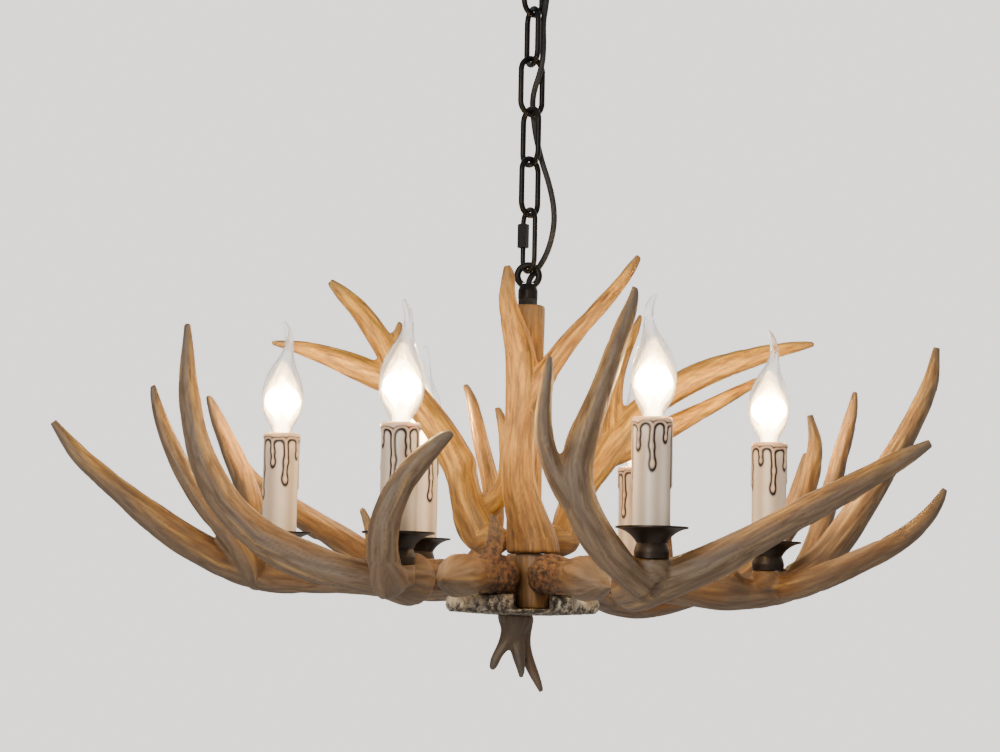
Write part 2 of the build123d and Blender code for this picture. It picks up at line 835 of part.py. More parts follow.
def cross_bar():
    """The steel bar that two ceiling screws hold, with a middle hole for the nipple."""
    top = CANOPY_BOTTOM + CANOPY_HEIGHT
    sheet = Rectangle(CROSS_BAR_LENGTH, CROSS_BAR_WIDTH)
    slot = SlotOverall(CEILING_SLOT_LENGTH, CEILING_SLOT_WIDTH)
    for side in (-1, 1):
        sheet = sheet - Pos(side * CEILING_SLOT_SPACING / 2, 0) * slot
    body = extrude(Plane(origin=(0, 0, top - CROSS_BAR_THICKNESS)) * sheet, CROSS_BAR_THICKNESS)
    return body.cut(rod_hole(top - CROSS_BAR_THICKNESS - 1, top + 1))


def canopy_nipple():
    """The short hollow threaded tube that joins the cross bar, the canopy and the loop."""
    bottom = CANOPY_LOOP_BASE - ROD_IN_LOOP
    top = CANOPY_BOTTOM + CANOPY_HEIGHT - 0.5
    return upright(ROD_RADIUS, bottom, top).cut(upright(ROD_RADIUS - ROD_WALL, bottom - 1, top + 1))


def ring_nut():
    body = upright(RING_NUT_RADIUS, CANOPY_LOOP_BASE, CANOPY_BOTTOM)
    return body.cut(rod_hole(CANOPY_LOOP_BASE - 1, CANOPY_BOTTOM + 1))


def dish(x, y, seat):
    """The drip dish: a cup on the antler, a narrow neck, and a flared dish with a rim."""
    hole = NIPPLE_RADIUS + NIPPLE_CLEARANCE
    pan = SLEEVE_RADIUS + SLEEVE_CLEARANCE
    rim = RIM_TO_SEAT
    outline = (
        Polyline((hole, 0), (CUP_RADIUS, 0), (CUP_RADIUS + 0.4, 5))
        + ThreePointArc(
            (CUP_RADIUS + 0.4, 5), (CUP_RADIUS - 0.4, 8.5), (CUP_NECK_RADIUS, DISH_FLOOR - 7)
        )
        + ThreePointArc(
            (CUP_NECK_RADIUS, DISH_FLOOR - 7),
            (pan + 0.6, DISH_FLOOR - 1.3),
            (DISH_RADIUS, rim - DISH_LIP),
        )
        + Polyline((DISH_RADIUS, rim - DISH_LIP), (DISH_RADIUS, rim), (DISH_RADIUS - DISH_LIP, rim))
        + ThreePointArc(
            (DISH_RADIUS - DISH_LIP, rim),
            ((DISH_RADIUS + pan) / 2 - 1, (rim + DISH_FLOOR) / 2 + 0.9),
            (pan, DISH_FLOOR),
        )
        + Polyline((pan, DISH_FLOOR), (hole, DISH_FLOOR), (hole, 0))
    )
    return turned(outline).moved(Location((x, y, seat)))


def sleeve(x, y, seat, turn):
    """The candle sleeve: a tube with a wax collar and runs of wax that end in drops."""
    bottom = seat + DISH_FLOOR
    top = seat + RIM_TO_SEAT + SLEEVE_ABOVE_RIM
    body = upright(SLEEVE_RADIUS, bottom, top, x, y)
    collar = upright(SLEEVE_RADIUS + DRIP_COLLAR, top - DRIP_COLLAR_HEIGHT, top - 0.8, x, y)
    body = body.fuse(collar)
    for i, length in enumerate(DRIP_LENGTHS):
        place = polar(SLEEVE_RADIUS - 0.8, turn + 360 * i / len(DRIP_LENGTHS), 0)
        run = upright(DRIP_RADIUS, top - length, top - DRIP_COLLAR_HEIGHT + 2, x + place.X, y + place.Y)
        drop = Sphere(DRIP_DROP_RADIUS).moved(Location((x + place.X, y + place.Y, top - length)))
        body = body.fuse(run).fuse(drop)
    return body.cut(upright(SLEEVE_RADIUS - SLEEVE_WALL, bottom - 1, top + 1, x, y))


def holder_top(seat):
    return seat + RIM_TO_SEAT + SLEEVE_ABOVE_RIM - HOLDER_BELOW_SLEEVE


def holder(x, y, seat):
    """The lamp holder on its nipple, which runs down through the dish into the antler."""
    bottom = seat + DISH_FLOOR
    top = holder_top(seat)
    socket = top - CAP_LENGTH - CAP_END_GAP
    body = upright(HOLDER_RADIUS, bottom, top, x, y)
    body = body.fuse(upright(NIPPLE_RADIUS, seat - NIPPLE_DEPTH, bottom + 1, x, y))
    body = body.cut(upright(CAP_RADIUS + CAP_CLEARANCE, socket, top + 1, x, y))
    body = body.cut(upright(NIPPLE_BORE, seat - NIPPLE_DEPTH - 1, bottom + HOLDER_FLOOR + 1, x, y))
    return body.cut(
        upright(HOLDER_RADIUS - HOLDER_WALL, bottom + HOLDER_FLOOR, socket - HOLDER_FLOOR, x, y)
    )


def bulb_cap(x, y, seat):
    """The bulb's screw cap, with the collar that its glass stands on."""
    top = holder_top(seat)
    body = upright(CAP_RADIUS, top - CAP_LENGTH, top + CAP_COLLAR_GAP, x, y)
    collar = upright(
        CAP_COLLAR_RADIUS, top + CAP_COLLAR_GAP, top + HOLDER_BELOW_SLEEVE, x, y
    )
    return body.fuse(collar)


def flame(heights, wall):
    """The bulb's outline as a solid, drawn in by a wall."""
    return antler([(lean, 0, height, radius - wall) for height, radius, lean in heights])


def bulb_glass(x, y, seat, turn):
    """The hollow flame bulb with its bent tip."""
    outside = flame(FLAME, 0)
    body_points = [(height + BULB_WALL if height == 0 else height, r, lean) for height, r, lean in FLAME]
    inside = flame(body_points[:-2], BULB_WALL)
    base = holder_top(seat) + HOLDER_BELOW_SLEEVE
    return outside.cut(inside).rotate(Axis.Z, turn).moved(Location((x, y, base)))


def cord_tube():
    """The whole cord as straight runs joined by tangent arcs, each as large as its runs allow."""
    points = [Vector(*p) for p in CORD_ROUTE]
    radii = []
    for before, here, after in zip(points, points[1:], points[2:]):
        shorter = min((here - before).length, (after - here).length)
        half_turn = math.radians((here - before).get_angle(after - here)) / 2
        radii.append(0.45 * shorter / math.tan(half_turn))
    path = FilletPolyline(*points, radius=radii)
    start = path.location_at(0)
    section = Plane(origin=points[0], z_dir=points[1] - points[0]) * Circle(CORD_RADIUS)
    tube = sweep(section, path=path)
    expected = math.pi * CORD_RADIUS**2 * path.length
    print("cord radii", [round(r, 1) for r in radii], "length", round(path.length, 1))
    print("cord volume over section times length", round(tube.volume / expected, 4))
    return tube


def cord_stretches():
    """The cord's free stretches, from the canopy down, cut where each lies in a link's middle."""
    tube = cord_tube()
    heights = [CORD_ROUTE[0][2] + 5, *CORD_CUTS, CORD_ROUTE[-1][2] - 5]
    pieces = []
    for top, bottom in zip(heights, heights[1:]):
        slab = Pos(0, 0, (top + bottom) / 2) * Box(120, 120, top - bottom)
        pieces.append(tube & slab)
    return pieces


def make_nodes():
    """Every piece under its name, where it hangs."""
    nodes = {
        "canopy": canopy(),
        "cross_bar": cross_bar(),
        "canopy_nipple": canopy_nipple(),
        "canopy_ring_nut": ring_nut(),
        "canopy_loop": loop(CANOPY_LOOP_BASE, -1).rotate(Axis.Z, CANOPY_LOOP_TURN),
        "quick_link": quick_link(),
        "quick_link_nut": quick_nut(),
        "eye": loop(EYE_BASE, 1),
        "lock_nut": lock_nut(),
        "threaded_rod": threaded_rod(),
        "column_antler": column(),
        "hub_stub": stub(),
        "rosette": rosette(),
        "finial_antler": finial(),
        "studs": Compound(children=studs()),
        "lamp_holders": Compound(children=[holder(*place) for place in LAMPS.values()]),
    }
    for i, turn in enumerate(LINK_TURNS):
        nodes[f"chain_link_{i + 1}"] = oval(
            LINK_WIRE, LINK_INNER_WIDTH, LINK_INNER_LENGTH, link_bottom(i), turn
        )
    for name in ARMS:
        nodes[f"arm_{name}"] = arm(name)
    for name in UPPER:
        nodes[f"upper_antler_{name}"] = upper_antler(name)
    for (name, place), turn in zip(LAMPS.items(), FLAME_TURNS):
        nodes[f"dish_{name}"] = dish(*place)
        nodes[f"sleeve_{name}"] = sleeve(*place, turn)
        nodes[f"bulb_cap_{name}"] = bulb_cap(*place)
        nodes[f"bulb_glass_{name}"] = bulb_glass(*place, turn)
    for i, piece in enumerate(cord_stretches()):
        nodes[f"cord_{i + 1}"] = piece
    return {name: to_place(shape) for name, shape in nodes.items()}


def print_balance(nodes):
    """How far the antlers' middle lies from the axis that the fixture hangs on."""
    antlers = [shape for name, shape in nodes.items() if "arm_" in name or "antler" in name]
    volume = sum(shape.volume for shape in antlers)
    middle = sum((shape.center(CenterOf.MASS) * shape.volume for shape in antlers), Vector())
    print("antlers", round(volume / 1000), "cm3, middle", middle / volume)


def main():
    os.makedirs("parts", exist_ok=True)
    nodes = make_nodes()
    for name, shape in nodes.items():
        export_step(shape, f"parts/{name}.step")
    print(len(nodes), "nodes, hub hangs", HUB_DROP)
    print_balance(nodes)


main()
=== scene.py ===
# %% [markdown]
# # An antler chandelier, dressed for its picture
# The CAD model gives the sizes, the places and the joints. This lesson gives each of its pieces the
# surface that the real one has: grooved antlers, a pitted burr, wax-look candle sleeves with drips,
# bronze dishes, clear flame bulbs that are lit, an oiled black chain and a laced cord.
# Everything is in metres, in the same place as the CAD model. The new antlers, the burr plate, the sleeves
# and the pieces inside the bulbs ride on the body that they belong to.

# %% Load the imported model
import json
import math

import bmesh
import bpy
import numpy as np
from mathutils import Matrix, Vector, noise


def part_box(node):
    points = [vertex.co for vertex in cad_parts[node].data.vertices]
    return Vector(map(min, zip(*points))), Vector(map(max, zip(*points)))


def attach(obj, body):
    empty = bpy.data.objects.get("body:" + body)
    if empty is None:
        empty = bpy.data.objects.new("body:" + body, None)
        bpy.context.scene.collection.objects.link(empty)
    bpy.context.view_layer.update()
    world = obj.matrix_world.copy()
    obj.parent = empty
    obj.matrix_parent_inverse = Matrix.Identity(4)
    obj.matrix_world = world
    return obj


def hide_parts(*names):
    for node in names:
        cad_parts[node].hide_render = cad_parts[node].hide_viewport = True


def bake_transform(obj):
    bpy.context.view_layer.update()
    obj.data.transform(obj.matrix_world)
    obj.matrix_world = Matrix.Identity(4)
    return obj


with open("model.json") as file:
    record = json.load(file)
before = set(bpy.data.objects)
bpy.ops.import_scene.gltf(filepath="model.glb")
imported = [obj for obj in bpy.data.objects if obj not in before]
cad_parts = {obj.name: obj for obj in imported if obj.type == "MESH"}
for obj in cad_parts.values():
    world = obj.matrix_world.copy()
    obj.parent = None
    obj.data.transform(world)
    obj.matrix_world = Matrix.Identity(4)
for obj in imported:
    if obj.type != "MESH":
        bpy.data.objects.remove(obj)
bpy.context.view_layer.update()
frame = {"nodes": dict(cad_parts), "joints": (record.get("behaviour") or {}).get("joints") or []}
nodes = frame["nodes"]

# %% [markdown]
# ## The camera
# A picture can only be compared with a photograph if both are taken from the same place. The lamp
# was photographed from hub height, 1.8 m in front of it, with the lens tilted up a little. The long
# lens keeps the near and the far antlers almost the same size. The camera is also turned a degree
# about its own line of sight, because the chain in the photograph leans by that much.

# %% Place the camera
HUB_DROP = 0.6008
hub = Vector((0, 0, -HUB_DROP))
CAMERA_DISTANCE = 1.8
FOCUS_IN_PICTURE_WIDTHS = 2.16
FOCUS_IN_PIXELS = 2160
COLUMN_OFF_MIDDLE_IN_PIXELS = 26.6
tilt, lean = math.radians(5.92), math.radians(1.1)
turn = -math.atan(COLUMN_OFF_MIDDLE_IN_PIXELS / FOCUS_IN_PIXELS)

ahead = Vector((math.sin(turn) * math.cos(tilt), math.cos(turn) * math.cos(tilt), math.sin(tilt)))
level = Vector((math.cos(turn), -math.sin(turn), 0))
upward = level.cross(ahead)
right = level * math.cos(lean) + upward * math.sin(lean)
top = upward * math.cos(lean) - level * math.sin(lean)

camera_data = bpy.data.cameras.new("photographer")
camera_data.sensor_width = 36
camera_data.lens = FOCUS_IN_PICTURE_WIDTHS * camera_data.sensor_width
camera = bpy.data.objects.new("photographer", camera_data)
bpy.context.collection.objects.link(camera)
axes = Matrix((right, top, -ahead)).transposed().to_4x4()
camera.matrix_world = Matrix.Translation(hub + Vector((0, -CAMERA_DISTANCE, 0))) @ axes
bpy.context.scene.camera = camera
print("lens", round(camera_data.lens, 1), "mm, camera at", [round(v, 3) for v in camera.location])

# %% [markdown]
# ## Writing materials as sums
# A procedural material is arithmetic on patterns. Blender draws each sum as a node, which is clear
# for three nodes and a tangle for thirty. Here a small class wraps a node's socket, and Python's own
# operators add the nodes, so a groove can be written as `1 - lines`. The class `Finish` is one
# material: `add` puts in any other kind of node, and `surface` ends it in a Principled shader.


# %% The socket class and the material class
class Wire:
    """One output in a material. Python's operators on it add Math nodes."""

    def __init__(self, finish, socket):
        self.finish = finish
        self.socket = socket

    def sum(self, operation, first, second):
        values = {0: first, 1: second}
        return self.finish.add("ShaderNodeMath", {"operation": operation}, values)

    def __add__(self, other):
        return self.sum("ADD", self, other)

    def __sub__(self, other):
        return self.sum("SUBTRACT", self, other)

    def __rsub__(self, other):
        return self.sum("SUBTRACT", other, self)

    def __mul__(self, other):
        return self.sum("MULTIPLY", self, other)

    def most(self, other):
        return self.sum("MAXIMUM", self, other)

    def between(self, low, high):
        """0 below low, 1 above high, and smooth between them."""
        settings = {"interpolation_type": "SMOOTHSTEP"}
        return self.finish.add("ShaderNodeMapRange", settings, {0: self, 1: low, 2: high})

    __radd__ = __add__
    __rmul__ = __mul__


class Finish:
    """One material, made of nodes."""

    def __init__(self, name):
        self.material = bpy.data.materials.new(name)
        self.material.use_nodes = True
        self.tree = self.material.node_tree
        self.tree.nodes.clear()

    def add(self, kind, settings=None, inputs=None, output=0):
        """Any node: its type, its settings, and the values or wires of its inputs."""
        node = self.tree.nodes.new(kind)
        for name, value in (settings or {}).items():
            setattr(node, name, value)
        for key, value in (inputs or {}).items():
            if isinstance(value, Wire):
                self.tree.links.new(value.socket, node.inputs[key])
            else:
                node.inputs[key].default_value = value
        return Wire(self, node.outputs[output])

    def place(self):
        """Where a point is on the object, in metres."""
        return self.add("ShaderNodeTexCoord", output="Object")

    def height(self, place=None):
        return self.add("ShaderNodeSeparateXYZ", None, {0: place or self.place()}, "Z")

    def stored(self, name):
        """A number that the mesh keeps for each of its points."""
        return self.add("ShaderNodeAttribute", {"attribute_name": name}, None, "Fac")

    def stored_place(self, name):
        return self.add("ShaderNodeAttribute", {"attribute_name": name}, None, "Vector")

    def clouds(self, place, scale, detail=3.0, rough=0.55, warp=0.0):
        inputs = {"Vector": place, "Scale": scale, "Detail": detail}
        inputs.update({"Roughness": rough, "Distortion": warp})
        return self.add("ShaderNodeTexNoise", None, inputs, "Fac")

    def stretched(self, place, x, y, z):
        inputs = {0: place, 1: (x, y, z)}
        return self.add("ShaderNodeVectorMath", {"operation": "MULTIPLY"}, inputs)

    def mix(self, share, first, second):
        """From the first colour to the second, by a share from 0 to 1."""
        inputs = {0: share, 6: first, 7: second}
        settings = {"data_type": "RGBA", "clamp_factor": True}
        return self.add("ShaderNodeMix", settings, inputs, 2)

    def bumps(self, height, strength, distance):
        inputs = {"Height": height, "Strength": strength, "Distance": distance}
        return self.add("ShaderNodeBump", None, inputs)

    def surface(self, **inputs):
        """The Principled shader. An underscore in a name stands for a space."""
        named = {name.replace("_", " "): value for name, value in inputs.items()}
        shader = self.add("ShaderNodeBsdfPrincipled", None, named)
        end = self.tree.nodes.new("ShaderNodeOutputMaterial")
        self.tree.links.new(shader.socket, end.inputs["Surface"])
        return self.material


def shade(red, green, blue):
    """A colour as a paint chart gives it, from 0 to 255, turned into the renderer's own scale."""
    scaled = [value / 255 for value in (red, green, blue)]
    return (*[v / 12.92 if v <= 0.04045 else ((v + 0.055) / 1.055) ** 2.4 for v in scaled], 1.0)


def wear(names, material):
    """Gives CAD pieces a material in place of the plain one that they came with."""
    for name in names:
        slots = nodes[name].data.materials
        slots.clear()
        slots.append(material)
    print(material.name, "on", len(names), "CAD pieces")


print("shader helpers ready")

# %% [markdown]
# ## Pieces made of rings
# A horn, a bulb's glow and a cord are all rows of rings: circles of points that follow a line, with
# faces between neighbours and a cap at each end. The rings differ, but joining them and putting the
# result in the scene doesn't, so that is written once, here.


# %% Join rings and put meshes in the scene
def join_rings(shape, rings):
    """Faces between neighbouring rings of points, and one face over each end."""
    for low, high in zip(rings, rings[1:]):
        for k in range(len(low)):
            shape.faces.new((low[k - 1], low[k], high[k], high[k - 1]))
    shape.faces.new(rings[0][::-1])
    shape.faces.new(rings[-1])


def put_in_scene(name, mesh):
    """A smooth-shaded object with this mesh."""
    mesh.polygons.foreach_set("use_smooth", [True] * len(mesh.polygons))
    piece = bpy.data.objects.new(name, mesh)
    bpy.context.collection.objects.link(piece)
    return piece


def finished(name, shape):
    """A scene piece from a bmesh that is done with."""
    mesh = bpy.data.meshes.new(name)
    shape.to_mesh(mesh)
    shape.free()
    return put_in_scene(name, mesh)


print("mesh helpers ready")

# %% [markdown]
# ## How an antler grows
# Antler isn't round and even. Furrows run along it where blood vessels lay, small pearls crowd near
# the burr, and the tips are rubbed smooth. A texture laid flat over such a branching form would
# smear. So each antler here is described by its strands: a beam and its tines, each a chain of
# points with the antler's radius there. Every point of the skin is measured against the nearest
# strand, and so has a place along it and a place round it. Furrows are then a noise that changes
# quickly round the antler and slowly along it.

# %% The strands of each antler, in millimetres about the hub: x, y, z and radius
ARM_STRANDS = {
    "arm_left": [
        [(-14.3, 0, 20, 6.5), (-26, 0, 20, 11.8), (-38, 0, 20, 14.4), (-54, 0, 20, 13.6),
         (-76, 0, 20, 13.8), (-108, -2, 16, 14.8), (-146, -2, 16, 14), (-180, -3, 16.5, 14.4),
         (-214, -12, 18.5, 14.8), (-250, -32, 30.5, 13.9), (-288, -52, 53, 12.4), (-326, -64, 82, 9.7),
         (-358, -72, 110, 7), (-379, -80, 136, 2.8)],
        [(-224, -20, 17, 10.8), (-234, -44, 44, 10.3), (-258, -49, 71, 9), (-281, -52, 107, 7.7),
         (-296, -52, 140, 6), (-304, -52, 169, 2.4)],
        [(-212, 8, 15, 11.8), (-229, 38, 31, 11.4), (-232, 46, 70, 10.8), (-244, 47, 106, 9.7),
         (-260, 45, 140, 7.5), (-273, 42, 170, 2.6)],
        [(-124, 4, 16, 10.3), (-126, 15, 44, 6.9), (-137, 20, 75, 2.6)],
    ],
    "arm_front_left": [
        [(-7.2, -12.4, 20, 6.5), (-13, -22.5, 20, 12), (-16.5, -28.6, 20, 15.2), (-21, -36.4, 20, 17.6),
         (-28, -48.5, 20, 16.8), (-38, -65.8, 20, 14.2), (-56, -98, 17, 14.2), (-78, -134, 15, 14.2),
         (-106, -162, 14.5, 14.4), (-150, -165, 22.5, 14.2), (-199, -152, 43.5, 13.8),
         (-229, -150, 72, 12.5), (-249, -150, 110, 10.2), (-259, -150, 156, 7.8),
         (-262, -150, 205, 2.7)],
        [(-98, -180, 13, 12.5), (-102, -214, 27, 12.1), (-101, -221, 56, 11.3), (-85, -225, 90, 9.4),
         (-67, -228, 110, 6.9), (-53, -231, 121, 2.7)],
        [(-36, -62, 18, 10.4), (-24, -54, 44, 7.3), (-26, -50, 69, 2.5)],
    ],
    "arm_back_left": [
        [(-7.1, 12.4, 20, 6.5), (-13, 22.5, 20, 11.8), (-19, 32.9, 20, 14.4), (-27, 46.8, 20, 13.6),
         (-38, 65.8, 20, 13.8), (-55, 97, 16, 15.4), (-76, 134, 14, 16.4), (-103, 161, 17, 16.4),
         (-144, 160, 38, 13.8), (-200, 138, 72, 11.1), (-244, 131, 102, 8.5), (-261, 130, 136, 2.8)],
        [(-84, 176, 11, 12.7), (-50, 196, 26, 11.7), (-28, 198, 70, 10.2), (-33, 193, 112, 8.9),
         (-44, 190, 157, 7.4), (-57, 190, 198, 2.8)],
        [(-182, 146, 60, 9.5), (-212, 150, 76, 7.4), (-236, 156, 84, 5.3), (-252, 160, 96, 2.5)],
    ],
    "arm_right": [
        [(14.3, 0, 20, 6.5), (26, 0, 20, 11.8), (38, 0, 20, 14.4), (54, 0, 20, 13.6), (76, 0, 20, 13.8),
         (108, 3, 14, 13.5), (146, 2, 11, 14), (184, 2, 10, 14.4), (217, 5, 16, 14),
         (248, 10, 37, 13.4), (272, 12, 68, 12.8), (297, 15, 106, 10.8), (322, 16, 148, 8.9),
         (340, 18, 186, 7.4), (347, 20, 221, 2.4)],
        [(214, -4, 14, 10.8), (246, -28, 24, 10.8), (278, -37, 39, 9.9), (308, -40, 56.5, 8.4),
         (330, -40, 77, 6.3), (342, -40, 97, 2.4)],
        [(212, 14, 12, 11.2), (240, 46, 34, 10.2), (257, 56, 76, 9.1), (267, 60, 113, 8),
         (277, 60, 150, 6.5), (284, 60, 185, 2.2)],
    ],
    "arm_front_right": [
        [(7.2, -12.4, 20, 6.5), (13, -22.5, 20, 12), (16.5, -28.6, 20, 15.2), (21, -36.4, 20, 17.6),
         (28, -48.5, 20, 16.8), (38, -65.8, 20, 14.2), (58, -98, 16, 14.8), (80, -134, 14, 15.8),
         (104, -162, 17, 16.3), (136, -174, 29, 14.3), (170, -178, 47, 12.4), (208, -180, 69, 11.2),
         (246, -184, 90, 9.6), (279, -187, 109, 7.3), (303, -190, 123, 2.7)],
        [(92, -176, 13, 13.8), (64, -193, 36, 13.3), (43, -197, 70, 13.3), (39, -198, 100, 12.6),
         (49, -199, 138, 10.4), (64, -199, 182, 8.2), (75, -199, 214, 6.1), (80, -199, 235, 2.7)],
        [(38, -198, 72, 10.2), (22, -200, 96, 8.2), (14, -200, 122, 7.1), (14, -200, 150, 6.1),
         (17, -200, 182, 2.4)],
    ],
    "arm_back_right": [
        [(7.2, 12.4, 20, 6.5), (13, 22.5, 20, 11.8), (19, 32.9, 20, 14.4), (27, 46.8, 20, 13.6),
         (38, 65.8, 20, 13.8), (56, 97, 13, 13.5), (78, 134, 4, 14.4), (106, 160, 0.5, 14.9),
         (146, 164, 8, 13.5), (192, 152, 28, 12.1), (228, 140, 58, 10.6), (250, 132, 98, 8.9),
         (259, 130, 138, 7.1), (254, 130, 172, 2.4)],
        [(226, 142, 54, 8.4), (240, 150, 86, 7.1), (248, 152, 112, 5.8), (254, 152, 138, 2.2)],
        [(104, 184, 0, 11.2), (129, 214, 20, 9.8), (131, 220, 56, 8), (128, 221, 90, 6.3),
         (126, 222, 120, 2.2)],
    ],
}
UPPER_STRANDS = {
    "upper_antler_left": [
        [(-10.5, 10.5, 50, 6.5), (-17.7, 17.7, 50, 10.4), (-25.5, 25.5, 50, 13.4),
         (-33.2, 33.2, 50, 13.6), (-48, 42, 82, 14.8), (-54, 47, 108, 14.4), (-67, 55, 134, 14),
         (-86, 66, 160, 13.4), (-105, 76, 185, 12.7), (-126, 85, 221, 10.8), (-146, 88, 249, 9.1),
         (-163, 90, 266, 6.8), (-176, 92, 278, 2.8)],
        [(-112, 79, 186, 11.4), (-140, 85, 197, 11.9), (-164, 88, 207, 10.4), (-192, 90, 216, 7.3),
         (-210, 92, 220, 4.9), (-226, 93, 222.5, 2)],
        [(-122, 82, 208, 8.5), (-115, 85, 226, 5.9), (-112, 86, 242, 2.3)],
        [(-43, 40, 70, 10.1), (-22, 42, 88, 9.5), (-14, 45, 110, 8.7), (-15, 47, 130, 7.4),
         (-19, 49, 148, 5.5), (-25, 50, 165, 2.5)],
    ],
    "upper_antler_right": [
        [(10.5, 10.5, 50, 6.5), (17.7, 17.7, 50, 10.4), (25.5, 25.5, 50, 13.4), (33.2, 33.2, 50, 13.6),
         (38, 42, 72, 12.6), (50, 47, 98, 12.6), (70, 56, 128, 14), (90, 68, 154, 13),
         (112, 78, 175, 12.5), (138, 84, 192, 12.3), (158, 87, 202, 11.5), (178, 89, 210, 10.4),
         (200, 91, 217, 8.6), (220, 92, 223, 6.7), (240, 93.5, 227.5, 4.3), (254, 94, 230, 1.8)],
        [(66, 54, 124, 10.2), (98, 68, 137, 10.7), (130, 83, 155, 9.3), (164, 98, 174, 7.3),
         (184, 105, 185.5, 5.8), (204, 112, 197, 3.9), (222, 118, 206, 1.7)],
        [(74, 60, 134, 12.1), (74, 68, 166, 10.7), (78, 78, 200, 8.9), (90, 87, 229, 6),
         (100, 92, 253, 2.2)],
    ],
}
COLUMN_STRANDS = [
    [(0, 0, 38.5, 14.5), (0, 0, 246.5, 14.5)],
    [(10, -12, 24, 20), (9, -14, 46, 20), (2, -19, 70, 16.5), (-5, -23, 98, 14.8), (-5, -25, 132, 13.4),
     (-4, -27, 168, 13.4), (-5, -29, 200, 13), (-12, -31, 228, 9.8), (-17, -31, 254, 6.8),
     (-18, -31, 276, 3)],
    [(2, -27, 160, 11), (17, -31, 188, 9.8), (34, -36, 212, 8), (54, -39, 235, 6.8),
     (75, -40, 260, 5.8), (91, -40, 284, 2.6)],
]
STUB_STRANDS = [
    [(0, 0, 5, 14), (0, 0, 38.5, 14)],
    [(8.5, -15.5, -6.5, 13.2), (8.5, -15.5, 38.5, 13.2)],
]
FINIAL_STRANDS = [
    [(-3, 0, 0, 15.5), (-6, -2, -13, 14.6), (-7, -3, -21, 12.4), (-10, -4, -30, 8.6), (-16, -6, -39, 5.2),
     (-21, -7, -48, 4.2), (-25, -8, -57, 1.8)],
    [(-5, -2, -18, 9.5), (-4, -3, -30, 7), (-3, -5, -41, 6), (-1, -7, -52, 4.4), (0, -8, -63, 2)],
    [(0, 2, -13, 9.5), (1, 3, -23, 8), (2, 4, -32, 5.6), (4, 4, -42, 4.8), (8, 4, -54, 4.8),
     (13, 3, -65, 3.8), (17, 3, -75, 1.8)],
]
print("strands:", sum(len(strands) for strands in ARM_STRANDS.values()), "in the arms")

# %% [markdown]
# ## Growing the skin
# The CAD antler is a smooth solid with sharp creases where its tines join. A voxel remesh turns it
# into an even skin of small faces that can be carved, and a few rounds of smoothing melt the creases
# into forks. Then every point is moved in or out: broad swells, long furrows, pearls by the burr,
# and nothing at the tips. The measures stay on the mesh, so the material can colour the same
# furrows darker and the pearls rougher.


# %% Measure points against the strands
def as_lengths(strand):
    """A strand's points, radii and distances along it, as arrays in metres."""
    points = np.array(strand, float) / 1000
    points[:, 2] -= HUB_DROP
    steps = np.linalg.norm(np.diff(points[:, :3], axis=0), axis=1)
    return points[:, :3], points[:, 3], np.concatenate([[0], np.cumsum(steps)])


def strand_sides(points):
    """A direction across the strand at each point, turning with it and never about it."""
    along = np.gradient(points, axis=0)
    along /= np.linalg.norm(along, axis=1)[:, None]
    side = np.cross(along[0], (0.3, 0.5, 0.81))
    sides = []
    for direction in along:
        side = side - direction * np.dot(side, direction)
        side = side / np.linalg.norm(side)
        sides.append(side)
    return np.array(sides)


def measure(co, strand):
    """For each point: its depth, way along, radius, angle, the strand's length, nearest place on it."""
    points, radii, ways = as_lengths(strand)
    sides = strand_sides(points)
    best = np.full(len(co), np.inf)
    way, radius, turned = np.zeros(len(co)), np.ones(len(co)), np.zeros(len(co))
    core = np.zeros((len(co), 3))
    for i in range(len(points) - 1):
        step = points[i + 1] - points[i]
        share = np.clip((co - points[i]) @ step / (step @ step), 0, 1)
        middle = points[i] + share[:, None] * step
        r = radii[i] + share * (radii[i + 1] - radii[i])
        out = co - middle
        far = np.linalg.norm(out, axis=1) - r
        closer = far < best
        side = sides[i] + share[:, None] * (sides[i + 1] - sides[i])
        along = step / np.linalg.norm(step)
        across = np.cross(along, side)
        angle = np.arctan2((out * across).sum(1), (out * side).sum(1))
        best[closer], radius[closer], turned[closer] = far[closer], r[closer], angle[closer]
        way[closer] = ways[i] + share[closer] * (ways[i + 1] - ways[i])
        core[closer] = middle[closer]
    return best, way, radius, turned, ways[-1], core


def noise_at(places, seed):
    """Smooth noise from -1 to 1 at each place."""
    shift = Vector((seed * 7.31, seed * 3.77, seed * 5.19))
    return np.array([noise.noise(Vector(p) + shift) for p in places])


def points_of(piece):
    """A mesh's points and the outward directions there."""
    count = len(piece.data.vertices)
    co, out = np.zeros(count * 3), np.zeros(count * 3)
    piece.data.vertices.foreach_get("co", co)
    piece.data.vertex_normals.foreach_get("vector", out)
    return co.reshape(-1, 3), out.reshape(-1, 3)


def keep(piece, name, values):
    """Stores one number, or one place, for each point of the mesh."""
    kind = "FLOAT" if values.ndim == 1 else "FLOAT_VECTOR"
    key = "value" if values.ndim == 1 else "vector"
    piece.data.attributes.new(name, kind, "POINT").data.foreach_set(key, values.ravel())


def eased(values, low, high):
    """0 below low, 1 above high, and smooth between them."""
    share = np.clip((values - low) / (high - low), 0, 1)
    return share * share * (3 - 2 * share)


print("strand measures ready")

# %% [markdown]
# ## Clean tips
# A loft through a dozen circles wavers where the circles are far apart, which is near a beam's tip.
# So the remesh also gets a plain horn along the last stretch of the beam's own strand, and after it
# the points there are set on that strand, a few times over, with a little smoothing in between.

# %% Set a beam's tip on its strand
TIP_REACH, TIP_CERTAIN = 0.12, 0.07
TIP_PASSES, TIP_SMOOTHING = 5, 3


